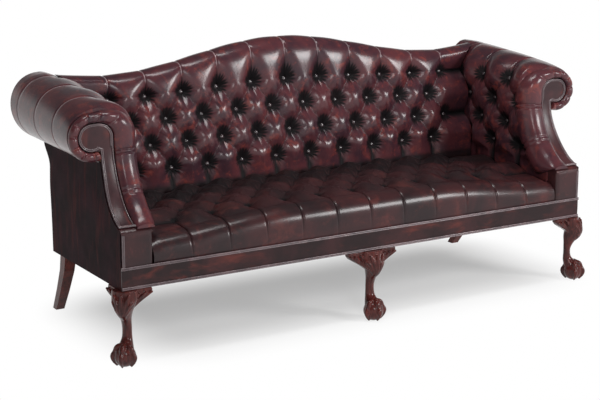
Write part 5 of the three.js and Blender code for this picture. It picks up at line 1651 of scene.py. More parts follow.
@dataclass
class RolledArm(SubAssembly):
    """Buttoned inside of an arm with pleats over its outward roll."""

    side: Side = Side.RIGHT
    pitch: float = 160 * MM
    row_spacing: float = 85.5 * MM
    first_row: float = 520 * MM
    first_column: float = -70 * MM
    puff: float = 38 * MM
    rows: int = 4
    columns: int = 3
    skin_depth: float = 8 * MM
    bottom: float = 400 * MM
    edge_puff: float = 12 * MM
    rear_puff: float = 4 * MM
    wall: float = 30 * MM
    roll_seam: float = 2.4 * MM
    front_behind: float = 8.5 * MM
    fade_run: float = 34 * MM
    rear_fade: tuple[float, float] = (112 * MM, 138 * MM)
    blend_share: float = 0.20
    seam_half: float = 4 * MM
    seam_line: float = 2.4 * MM
    seam_share: float = 0.8
    seam_start: float = 0.35
    seam_run: float = 0.4
    hollow_fade: Span = (1.1, 0.9)
    crease_fade: Span = (1.1, 1.2)
    button_sink: float = 3 * MM
    low_run: float = 50 * MM
    seat_level: float = 462 * MM
    profile_steps: int = 48
    roll_steps: int = 84
    lining_steps: int = 6
    lining_wall_steps: int = 9
    end_steps: int = 30
    field_steps: int = 96
    row_steps: int = 24
    cut_rounds: int = 5
    tufts: TuftField = field(default_factory=lambda: TuftField(0, 2.5, 4, 0.0))

    @property
    def look(self) -> TuftLook:
        """What the finish reads from the arm."""
        return TuftLook(self.tufts, self.pitch, self.row_spacing)

    @property
    def top_distance(self) -> float:
        """Distance up the profile of the uppermost row."""
        return self.first_row + (self.rows - 1) * self.row_spacing - self.bottom

    def profile(self, y: Array) -> tuple[Array, Array, Array]:
        """Section of the arm at each depth: up the wall, over the roll and round under it.

        Args:
            y: Depths, one for each section.

        Returns:
            Places along X and Z and the distance run, each sections by points.
        """
        radius = (SIZES.roll_radius(y) - self.roll_seam)[:, None]
        axis = SIZES.roll_axis(y)[:, None]
        centre = (SIZES.roll_underside + SIZES.roll_radius(y))[:, None]
        curl = (np.pi - np.pi / 2 * spread(0, 1, self.profile_steps)[1:])[None, :]
        over = mix(np.pi / 2, self.close(y)[:, None], spread(0, 1, self.profile_steps)[1:][None, :])
        level = np.ones_like(radius)
        x = np.concatenate([SIZES.arm_inner * level, SIZES.arm_inner * level,
                            axis + (axis - SIZES.arm_inner) * np.cos(curl),
                            axis + radius * np.cos(over)], axis=1)
        z = np.concatenate([self.bottom * level, centre, centre + radius * np.sin(curl),
                            centre + radius * np.sin(over)], axis=1)
        run = np.hypot(np.diff(x, axis=1), np.diff(z, axis=1))
        distance = np.concatenate([np.zeros_like(radius), np.cumsum(run, axis=1)], axis=1)
        return x, z, distance

    def close(self, y: Array) -> Array:
        """Angle at which the cover under the roll meets the top edge of the outer panel."""
        edge = SIZES.panel_x(SIZES.panel_top)
        across = (edge - SIZES.roll_axis(y)) / (SIZES.roll_radius(y) - self.roll_seam)
        return -np.arccos(np.clip(across, -1, 1))

    def along(self, y: Array, distance: Array) -> tuple[Array, Array, Array, Array, Array]:
        """Place and outward direction at a distance up the section at each depth.

        Args:
            y: Depths.
            distance: Distances up the section.

        Returns:
            X, Z, the direction's X and Z, and the section's whole length.
        """
        x, z, run = self.profile(y)
        index = np.clip((run <= distance[:, None]).sum(axis=1) - 1, 0, run.shape[1] - 2)
        rows = np.arange(len(y))
        length = run[rows, index + 1] - run[rows, index]
        share = np.clip((distance - run[rows, index]) / length, 0, 1)
        step_x = x[rows, index + 1] - x[rows, index]
        step_z = z[rows, index + 1] - z[rows, index]
        way = np.hypot(step_x, step_z)
        return (x[rows, index] + step_x * share, z[rows, index] + step_z * share,
                -step_z / way, step_x / way, run[:, -1])

    def surface(self, y: Array, distance: Array) -> Array:
        """Buttoned surface at each depth and distance up the section."""
        x, z, normal_x, normal_z, total = self.along(y, distance)
        across = (y - self.first_column) / self.pitch
        row = (distance + self.bottom - self.first_row) / self.row_spacing
        height = self.tufts.height(across, row)
        over = smooth((distance - self.top_distance) / (total * self.blend_share))
        seamed = mix(height, 1 - self.look.seam(across, row, self.seam_half), self.seam_share)
        full = mix(self.puff, self.roll_seam, over) * mix(height, seamed, over)
        gap = (y - SIZES.sweep_y(z, self.front_behind)) / self.fade_run
        rise = mix(np.minimum(full, self.edge_puff), full, smooth(gap))
        low = mix(self.edge_puff, self.puff, smooth((z - self.seat_level) / self.low_run))
        forward = (SIZES.slab_rear(z) - y) * math.cos(SIZES.lean)
        start, end = self.rear_fade
        rear = smooth((forward - start) / (end - start))
        limit = np.where(over > 0.5, rise, np.minimum(rise, low))
        lifted = mix(np.minimum(limit, self.rear_puff), limit, rear)
        pull = ButtonPull(self.pitch, self.row_spacing).lift(self.tufts, across, row)
        pull = pull * smooth(gap) * (1 - over) * rear
        lifted = lifted + pull * smooth((z - self.seat_level) / self.low_run)
        return points(x + normal_x * lifted, y, z + normal_z * lifted)

    def front_y(self, place: Array) -> Array:
        """Front cut of the arm: along the hollow, and upright at the roll's end."""
        wall = np.maximum(SIZES.rail_front + SIZES.base_depth + SIZES.clearance,
                          SIZES.sweep_y(place[..., 2], self.front_behind))
        beyond = place[..., 0] > SIZES.roll_centre - SIZES.roll_front_radius
        return np.where(beyond, SIZES.sweep_top_y + self.front_behind, wall)

    def rear_y(self, place: Array) -> Array:
        """Rear cut of the arm, just inside the plane of the back."""
        return SIZES.slab_rear(place[..., 2]) - (SIZES.cover_gap + SIZES.clearance) / math.cos(SIZES.lean)

    def depth_at(self, stage: Array, place: Array) -> Array:
        """Depth of a column at a place: 0 to 1 before the field, 1 to 2 in it, 2 to 3 behind it."""
        front, rear = self.front_y(place), self.rear_y(place)
        last = self.first_column + (self.columns - 1) * self.pitch
        before = mix(front, np.maximum(self.first_column, front), np.clip(stage, 0, 1))
        within = np.maximum(mix(self.first_column, last, np.clip(stage - 1, 0, 1)), front)
        behind = mix(last, rear, np.clip(stage - 2, 0, 1))
        return np.where(stage < 1, before, np.where(stage <= 2, within, behind))

    def build(self) -> None:
        """Make the arm and its buttons."""
        stages = stations((0, 1, self.end_steps), (1, 2, self.field_steps), (2, 3, self.end_steps))[:, None]
        low = self.first_row - self.bottom
        levels = stations((0, low, self.row_steps),
                          (low, self.top_distance, (self.rows - 1) * self.row_steps))
        shares = np.concatenate([0 * levels, spread(0, 1, self.roll_steps)[1:]])
        bases = np.concatenate([levels, np.full(self.roll_steps, self.top_distance)])
        stage, base, share = (a.ravel() for a in np.broadcast_arrays(stages, bases, shares))
        y = self.depth_at(stage, points(SIZES.arm_inner, 0 * stage, SIZES.sweep_top))
        for _ in range(self.cut_rounds):
            distance = mix(base, self.profile(y)[2][:, -1], share)
            y = self.depth_at(stage, self.surface(y, distance))
        distance = mix(base, self.profile(y)[2][:, -1], share)
        outer = self.surface(y, distance).reshape(len(stages), len(bases), 3)
        lining = self.lining(stages)
        across = ((y - self.first_column) / self.pitch).reshape(outer.shape[:2])
        row = ((distance + self.bottom - self.first_row) / self.row_spacing).reshape(outer.shape[:2])
        values = self.look.values(across, row)
        beyond = np.maximum(0, row - self.rows + 1)
        values["hollow"] = faded(values["hollow"], beyond, *self.hollow_fade)
        values["crease"] = faded(values["crease"], beyond, *self.crease_fade)
        # Painted highlight: a thin light line along each seam over the roll.
        line = self.look.seam(across, row, self.seam_line)
        values["seam"] = line * smooth((beyond - self.seam_start) / self.seam_run)
        hidden = lining.shape[1]
        body = loft_skin(np.concatenate([outer, lining], axis=1), joined_values([values], hidden), hidden)
        piece = body.side_mesh(self.side, "buttoned_arm")
        self.install(piece, self.finishes.leather, f"{self.side.label}_tufted_arm", 0.9)
        self.set_buttons()

    def lining(self, stages: Array) -> Array:
        """Inner wall of the arm's shell, from under the roll back down to the seat.

        Args:
            stages: Columns as depth_at counts them.

        Returns:
            Points as columns by rows by 3.
        """
        y = self.depth_at(stages, points(SIZES.arm_inner, 0 * stages, SIZES.sweep_top))
        radius = SIZES.roll_radius(y) - self.wall
        axis = SIZES.roll_axis(y)
        centre = SIZES.roll_underside + SIZES.roll_radius(y)
        angle = mix(self.close(y), np.pi / 2, spread(0, 1, self.lining_steps)[None, :])
        inner = SIZES.arm_inner + self.skin_depth
        bend = math.sqrt(0.5)
        x = np.concatenate([axis + radius * np.cos(angle), axis - (axis - inner) * bend,
                            np.full((len(stages), self.lining_wall_steps + 1), inner)], axis=1)
        drop = spread(0, 1, self.lining_wall_steps)[None, :]
        z = np.concatenate([centre + radius * np.sin(angle), centre + radius * bend,
                            mix(centre, self.bottom, drop)], axis=1)
        place = points(x, 0, z)
        place[..., 1] = self.depth_at(np.broadcast_to(stages, x.shape), place)
        return place

    def set_buttons(self) -> None:
        """Cover buttons at the pulls of the arm."""
        spots = []
        for row in range(self.rows):
            column = (row % 2) / 2
            while column < self.columns:
                hidden = column == 0 and row == 0
                if not hidden and (column < self.columns - 1 or row == self.rows - 2):
                    spots.append((column, row))
                column += 1
        spots = np.array(spots, dtype=float)
        y = self.first_column + spots[:, 0] * self.pitch
        distance = self.first_row + spots[:, 1] * self.row_spacing - self.bottom
        _, _, normal_x, normal_z, _ = self.along(y, distance)
        normals = points(normal_x, 0, normal_z)
        places = self.surface(y, distance) + normals * self.button_sink
        mirror = self.side.mirror
        piece = LeatherButton().set_at(f"{self.side.label}_arm_buttons", places * mirror, normals * mirror)
        self.install(piece, self.finishes.button)


@dataclass
class ArmFront(SubAssembly):
    """Front of an arm: base block, facing with its scroll, puffed band and cords."""

    side: Side = Side.RIGHT
    base_inner: float = 866 * MM
    base_round: float = 14 * MM
    base_edge: float = 15 * MM
    base_belly: float = 2.5 * MM
    facing_inner: float = 922 * MM
    facing_crown: float = 4 * MM
    disc_radius: float = 46 * MM
    curl_under: float = math.radians(35)
    foot_share: float = 0.11
    neck_step: float = 0.01
    band_centre: float = 889 * MM
    band_half: float = 31 * MM
    ring_radius: float = 65 * MM
    ring_half: float = 15.5 * MM
    band_rise: float = 22 * MM
    band_foot: float = 0.006
    band_sides: int = 30
    share_steps: int = 110
    ring_steps: int = 220
    section_across: tuple[float, ...] = (1.0, 0.93, 0.5, 0.0, -0.6, -1.25, -1.72, -1.92, -1.75, -1.1)
    section_out: tuple[float, ...] = (0.0, 0.42, 0.9, 1.0, 0.94, 0.45, -0.55, -1.5, -2.6, -3.6)
    flat_across: tuple[float, ...] = (1.0, 0.93, 0.55, 0.0, -0.5, -0.85, -0.96, -1.0, -1.0, -1.0)
    flat_out: tuple[float, ...] = (0.0, 0.42, 0.88, 1.0, 0.9, 0.55, 0.3, 0.14, 0.05, -0.1)
    fill_share: float = 0.3
    foot_rise: float = 0.4
    seam_depth: float = 4 * MM
    seam_half: float = 4 * MM
    seam_pair: float = 7 * MM
    seam_levels: tuple[float, float] = (684 * MM, 552 * MM)
    seam_pull: float = 0.4
    ring_end: float = math.radians(-112)
    ring_pleats: int = 8
    ring_rise_share: float = 1.25
    pleat_half: float = 0.10
    pleat_start: float = 0.3
    pleat_swell: float = 0.6
    # Strength of the painted shade along the band's rims.
    rim_shade: float = 0.7
    under_share: float = 1.5
    neck_steps: int = 40
    disc_steps: int = 60
    facing_steps: int = 10
    crown_power: float = 0.6
    cord_lift: float = 1.1
    second_cord: float = 0.9
    foot_cord_share: float = 0.098
    foot_cord_step: float = 0.011
    foot_cord_steps: int = 16
    # Strength of the painted shade at the block's side edges.
    base_edge_shade: float = 0.15
    base_sag: float = 0.6
    base_front_steps: int = 11
    base_turn_steps: int = 8
    base_top_steps: int = 10
    base_middle_steps: int = 10
    base_edge_steps: int = 6
    block_cord_steps: int = 20
    block_cord_sink: float = 0.4

    def band_close(self, angle: Array) -> Array:
        """How far the band has closed from the neck onto the disc, by its angle."""
        return smooth(angle / (np.pi / 2))

    def facing_edges(self, inset: float = 0.0) -> tuple[Array, Array]:
        """Edges of the facing strip, up its neck and round the scroll beside the band.

        Args:
            inset: How far the edges are moved in.

        Returns:
            Inner and outer edge, each as rows of a place along X and a share on the sheet.
        """
        neck_top = SIZES.roll_front_centre - self.disc_radius * math.cos(self.curl_under)
        neck_share = float(SIZES.share_at(neck_top)) - self.neck_step
        share = spread(self.foot_share, neck_share, self.neck_steps)
        z = SIZES.sweep_point(0, share)[:, 2]
        inner = np.stack([np.full_like(share, self.facing_inner + inset), share], axis=1)
        outer = np.stack([SIZES.panel_x(z) - SIZES.cover_gap - inset, share], axis=1)
        angle = mix(-np.pi / 2 - self.curl_under, np.pi / 2, spread(0, 1, self.disc_steps)[:-1])
        radius = self.disc_radius - inset
        disc = np.stack([SIZES.roll_centre + radius * np.cos(angle),
                         SIZES.share_at(SIZES.roll_front_centre + radius * np.sin(angle))], axis=1)
        reach = mix(SIZES.roll_centre - self.facing_inner, self.disc_radius, self.band_close(angle)) - inset
        scroll = np.stack([SIZES.roll_centre - reach * np.cos(angle),
                           SIZES.share_at(SIZES.roll_front_centre + reach * np.sin(angle))], axis=1)
        straight = np.stack([np.full_like(angle, self.facing_inner + inset), disc[:, 1]], axis=1)
        curl = np.where(angle[:, None] > 0, scroll, straight)
        return np.concatenate([inner, curl]), np.concatenate([outer, disc])

    def build(self) -> None:
        """Make all pieces of the arm front."""
        self.build_facing()
        self.build_cords()
        self.build_band()
        self.build_base()

    def build_facing(self) -> None:
        """Stretch the facing over its board, softly crowned."""
        inner, outer = self.facing_edges()
        width = spread(0, 1, self.facing_steps)[None, :, None]
        place = mix(inner[:, None], outer[:, None], width)
        front = SIZES.sweep_point(place[..., 0], place[..., 1])
        crown = self.facing_crown * np.sin(np.pi * width[..., 0]) ** self.crown_power
        front += SIZES.sweep_normal(place[..., 1]) * crown[..., None]
        edges = np.stack([inner, outer], axis=1)
        back = SIZES.sweep_point(edges[..., 0], edges[..., 1], SIZES.leather)
        piece = sheet_skin(front, back).side_mesh(self.side, "facing_leather")
        self.install(piece, self.finishes.facing, f"{self.side.label}_arm_facing")

    def cord(self, edge: Array, radius: float) -> Skin:
        """Round cord along places on the sheet of the arm front."""
        normal = SIZES.sweep_normal(edge[:, 1])
        path = SIZES.sweep_point(edge[:, 0], edge[:, 1]) + normal * (radius * self.cord_lift)
        return cord_skin(path, normal, radius)

    def build_cords(self) -> None:
        """Run a cord round the facing, a second beside it, and cords across its foot."""
        radius = SIZES.welt_radius
        inner, outer = self.facing_edges(radius)
        second_inner, second_outer = self.facing_edges(3 * radius)
        skin = self.cord(np.concatenate([outer, inner[::-1]]), radius)
        second = np.concatenate([second_outer, second_inner[:self.neck_steps:-1]])
        skin.take(self.cord(second, self.second_cord * radius))
        outer_end = SIZES.rail_half_width - SIZES.cover_gap
        across = spread(self.facing_inner - radius, outer_end, self.foot_cord_steps)
        for turn in (-1, 1):
            rise = np.full_like(across, self.foot_cord_share + self.foot_cord_step * turn)
            skin.take(self.cord(np.stack([across, rise], axis=1), radius))
        piece = skin.side_mesh(self.side, "facing_cords")
        self.install(piece, self.finishes.welt, f"{self.side.label}_facing_welt", slot="welt_leather")

    def band_seams(self, height: Array) -> Array:
        """Depth of the paired seams across the band at a height, 1 on their lines."""
        groove = np.zeros_like(height)
        for level in self.seam_levels:
            for turn in (-1, 1):
                groove += np.exp(-(((height - level + turn * self.seam_pair) / self.seam_half) ** 2))
        return np.minimum(groove, 1)

    def band_path(self) -> tuple[Array, Array, Array, Array, Array]:
        """Middle line of the puffed band with its side, facing, half width and rise."""
        share = spread(self.band_foot, 1, self.share_steps)
        centre = SIZES.sweep_point(np.full_like(share, self.band_centre), share)
        side = points(1, 0, 0 * share)
        seam = self.band_seams(centre[:, 2])
        rise = self.band_rise - self.seam_depth * seam
        half = self.band_half - self.seam_pull * self.seam_depth * seam
        turn = spread(math.pi, self.ring_end, self.ring_steps)[1:]
        close = self.band_close(math.pi - turn)
        radius = mix(SIZES.roll_centre - self.band_centre, self.ring_radius, close)
        ring_half = mix(self.band_half, self.ring_half, close)
        place = (math.pi - turn) / (math.pi - self.ring_end) * (self.ring_pleats + 0.5)
        groove = np.exp(-(((place - np.round(place)) / self.pleat_half) ** 2)) * (place > self.pleat_start)
        sag = self.pleat_swell * self.seam_depth * np.cos(np.pi * place) ** 2 + self.seam_depth * groove
        ring_rise = mix(self.band_rise, self.ring_rise_share * self.ring_half, close) - sag
        outward = points(np.cos(turn), 0, np.sin(turn))
        middle = points(SIZES.roll_centre, SIZES.sweep_top_y, SIZES.roll_front_centre)
        ring_centre = middle + outward * radius[:, None]
        forward = np.tile(FORWARD, (len(turn), 1))
        return (np.concatenate([centre, ring_centre]), np.concatenate([side, -outward]),
                np.concatenate([SIZES.sweep_normal(share), forward]), np.concatenate([half, ring_half]),
                np.concatenate([rise, ring_rise]))

    def build_band(self) -> None:
        """Puff the band up the inner side of the facing and pleat it round the disc."""
        centre, side, normal, half, rise = self.band_path()
        fat = np.stack([self.section_across, self.section_out], axis=1)
        flat = np.stack([self.flat_across, self.flat_out], axis=1)
        fat, flat = (curve_through(rows, self.band_sides) for rows in (fat, flat))
        along = np.arange(len(centre)) / self.share_steps
        above = (np.arange(len(centre)) - self.share_steps) / self.ring_steps
        full = smooth(along / self.fill_share) * (1 - smooth(above / self.fill_share))
        outline = mix(flat[None], fat[None], full[:, None, None])
        foot = mix(self.foot_rise, 1, smooth(along / self.fill_share))
        section = centre[:, None] + side[:, None] * (half[:, None] * outline[..., 0])[..., None]
        lift = (rise * foot)[:, None] * outline[..., 1]
        section = section + normal[:, None] * lift[..., None]
        deep = (SIZES.leather + self.band_rise * self.under_share * full)[:, None]
        under = np.stack([centre + side * half[:, None] - normal * SIZES.leather,
                          centre - side * half[:, None] - normal * deep], axis=1)
        # Painted shade along the band's rims, where it sinks into the grooves beside it.
        rim = np.zeros(self.band_sides + 3)
        rim[[0, 1, self.band_sides - 1, self.band_sides]] = self.rim_shade
        skin = sheet_skin(section, under, even_values(rim, (len(section), len(rim))))
        piece = skin.side_mesh(self.side, "pleated_band")
        self.install(piece, self.finishes.leather, f"{self.side.label}_arm_band", 0.9)

    def build_base(self) -> None:
        """Pad the block under the foot of the band and cord its outer edge."""
        front, back = SIZES.rail_front, SIZES.rail_front + SIZES.base_depth
        low, shoulder = SIZES.border_top + SIZES.clearance, SIZES.base_top - self.base_round
        turn = spread(0, math.pi / 4, self.base_turn_steps)[1:]
        top_y = spread(front + self.base_round, back, self.base_top_steps)
        rise = spread(low, shoulder, self.base_front_steps)
        y = np.concatenate([[back], front + 0 * rise, front + self.base_round * (1 - np.cos(turn)), top_y])
        z = np.concatenate([[low], rise, SIZES.base_top - self.base_round * (1 - np.sin(turn)),
                            SIZES.sweep_z(top_y, SIZES.cover_gap)])
        outer = SIZES.rail_half_width - SIZES.cover_gap
        edges = self.base_inner + self.base_edge, outer - self.base_edge
        x = stations((self.base_inner, edges[0], self.base_edge_steps), (*edges, self.base_middle_steps),
                     (edges[1], outer, self.base_edge_steps))
        across = np.clip(np.minimum(x - self.base_inner, outer - x) / self.base_edge, 0, 1)
        soft = 1 - np.sqrt(1 - (1 - across) ** 2)[:, None]
        ring = points(x[:, None], y[None, :], z[None, :])
        up = np.clip((z - low) / (SIZES.base_top - low), 0, 1)[None, :]
        belly = self.base_belly * np.sin(np.pi * up) * (1 - soft)
        ring[..., 1] += (soft * self.base_sag * self.base_edge - belly) * (y <= front)[None, :]
        # Painted shade, darker towards the block's rounded side edges.
        skin = loft_skin(ring, even_values(soft * self.base_edge_shade, ring.shape[:2]))
        piece = skin.side_mesh(self.side, "padded_base")
        self.install(piece, self.finishes.seat, f"{self.side.label}_arm_base", 0.95)
        radius = SIZES.welt_radius
        skin = Skin()
        for turn in (1, 3):
            path = points(outer - turn * radius, front - self.block_cord_sink * radius,
                          spread(low, shoulder, self.block_cord_steps))
            skin.take(cord_skin(path, FORWARD, radius))
        self.install(skin.side_mesh(self.side, "block_cords"), self.finishes.welt, slot="welt_leather")


@dataclass
class OutsidePanels(SubAssembly):
    """Leather stretched over the outside of the arms and the back, and the front border."""

    columns: int = 44
    panel_rows: int = 60
    end_columns: int = 16
    arm_columns: int = 20
    low_rows: int = 40
    high_rows: int = 20
    cord_steps: int = 24
    roll_cord_step: float = 0.6
    border_columns: int = 60
    border_rows: int = 8
    border_bulge: float = 1 * MM
    border_cord_share: float = 1.02
    sharp_degrees: float = 60.0

    def build(self) -> None:
        """Make every outside panel."""
        for side in Side:
            self.build_arm_panel(side)
        self.build_back_panel()
        self.build_border()

    def build_arm_panel(self, side: Side) -> None:
        """Hang the panel under the roll of an arm."""
        z = stations((SIZES.rail_bottom - SIZES.clearance, SIZES.side_bend, self.low_rows),
                     (SIZES.side_bend, SIZES.panel_top, self.high_rows))[:, None]
        front = np.maximum(SIZES.rail_front + SIZES.cover_gap, SIZES.sweep_y(z, SIZES.cover_gap))
        rear = SIZES.side_rear(z) - SIZES.cover_gap * (z < SIZES.side_bend)
        outer = points(SIZES.panel_x(z), mix(front, rear, spread(0, 1, self.arm_columns)[None, :]), z)
        inner = outer - np.array([SIZES.leather, 0, 0])
        skin = sheet_skin(outer * side.mirror, inner * side.mirror)
        piece = skin.mesh(f"{side.label}_outer_panel", self.sharp_degrees)
        self.install(piece, self.finishes.panel, f"{side.label}_outside_arm")
        radius = SIZES.welt_radius
        rear_top = float(SIZES.slab_rear(SIZES.panel_top)) - SIZES.cover_gap
        path = points(SIZES.panel_x(SIZES.panel_top) + self.roll_cord_step * radius,
                      spread(SIZES.sweep_top_y + radius, rear_top, self.cord_steps), SIZES.panel_top)
        skin = cord_skin(path * side.mirror, UPWARD, radius)
        self.install(skin.mesh(f"{side.label}_roll_cord"), self.finishes.welt, slot="welt_leather")

    def back_sheet(self, x: Array) -> Skin:
        """Part of the back panel over some columns: below the crest, or behind a roll.

        Args:
            x: Places of the columns along the sofa.

        Returns:
            The closed sheet.
        """
        roll_z = SIZES.roll_underside + SIZES.roll_rear_radius
        aside = np.abs(x) - SIZES.roll_rear_axis
        reach = np.sqrt(np.maximum(0, (SIZES.roll_rear_radius - SIZES.clearance) ** 2 - aside**2))
        crest = SIZES.slab_point(x, SIZES.crest_up(x) - SIZES.crest_welt_drop, 0)[:, 2]
        top = np.where(np.abs(x) <= SIZES.back_top_join, crest, roll_z + reach)
        beyond = np.abs(x) > SIZES.rail_half_width
        low = np.where(beyond, roll_z - reach, SIZES.rail_bottom - SIZES.clearance)
        z = mix(low[:, None], top[:, None], spread(0, 1, self.panel_rows)[None, :])
        slab = SIZES.slab_rear(np.maximum(z, SIZES.border_top))
        width = SIZES.rail_half_width - SIZES.slab_side
        past = np.maximum(0, np.abs(x) - SIZES.slab_side)[:, None]
        corner = 1 - np.sqrt(1 - np.minimum(1, past / width) ** 2)
        free = beyond[:, None] | (z > SIZES.panel_top)
        y = np.where(free, slab, mix(slab, SIZES.side_rear(z), corner))
        narrow = np.where(free, 1, (SIZES.panel_x(z) - SIZES.slab_side) / width)
        outer = points(x[:, None] - np.sign(x)[:, None] * past * (1 - narrow), y, z)
        return sheet_skin(outer, outer - np.array([0, SIZES.leather, 0]))

    def build_back_panel(self) -> None:
        """Stretch the back panel from side to side, with a round end behind each roll."""
        turn = np.sin(np.pi / 2 * spread(0, 1, self.end_columns))
        corner = mix(SIZES.slab_side, SIZES.rail_half_width, turn)
        flat = spread(0, SIZES.back_top_join, self.columns)
        away = np.concatenate([flat, corner[corner > SIZES.back_top_join + SIZES.clearance]])
        skin = self.back_sheet(np.concatenate([-away[:0:-1], away]))
        end = mix(SIZES.rail_half_width + SIZES.clearance, SIZES.roll_outer, turn[:-1])
        skin.take(self.back_sheet(end))
        skin.take(self.back_sheet(-end[::-1]))
        piece = skin.mesh("outer_back_panel", self.sharp_degrees)
        self.install(piece, self.finishes.panel, "outside_back")
        x = spread(-SIZES.back_top_join, SIZES.back_top_join, 2 * self.columns)
        up = SIZES.crest_up(x) - SIZES.crest_welt_drop + SIZES.welt_radius + SIZES.clearance
        skin = cord_skin(SIZES.slab_point(x, up, 0), SIZES.slab_normal, SIZES.welt_radius)
        self.install(skin.mesh("crest_cord"), self.finishes.welt, "crest_welt", slot="welt_leather")

    def build_border(self) -> None:
        """Stretch the front border over the rail between two double welts."""
        x = spread(-SIZES.rail_half_width, SIZES.rail_half_width, self.border_columns)
        z = spread(SIZES.rail_bottom - SIZES.clearance, SIZES.border_top, self.border_rows)[None, :]
        bulge = np.sin(np.pi * spread(0, 1, self.border_rows))[None, :] * self.border_bulge
        outer = points(x[:, None], SIZES.rail_front - bulge, z)
        inner = points(x[:, None], SIZES.rail_front + SIZES.leather, z)
        piece = sheet_skin(outer, inner).mesh("border_leather", self.sharp_degrees)
        self.install(piece, self.finishes.border, "front_border")
        radius = SIZES.welt_radius
        for level, middle in (("top", SIZES.border_top), ("bottom", SIZES.rail_bottom + 2 * radius)):
            skin = Skin()
            for turn in (-1, 1):
                path = points(x, SIZES.rail_front - radius, middle + turn * radius)
                skin.take(cord_skin(path, FORWARD, radius * self.border_cord_share))
            piece = skin.mesh(f"{level}_border_cords")
            self.install(piece, self.finishes.welt, f"{level}_border_welt", slot="welt_leather")


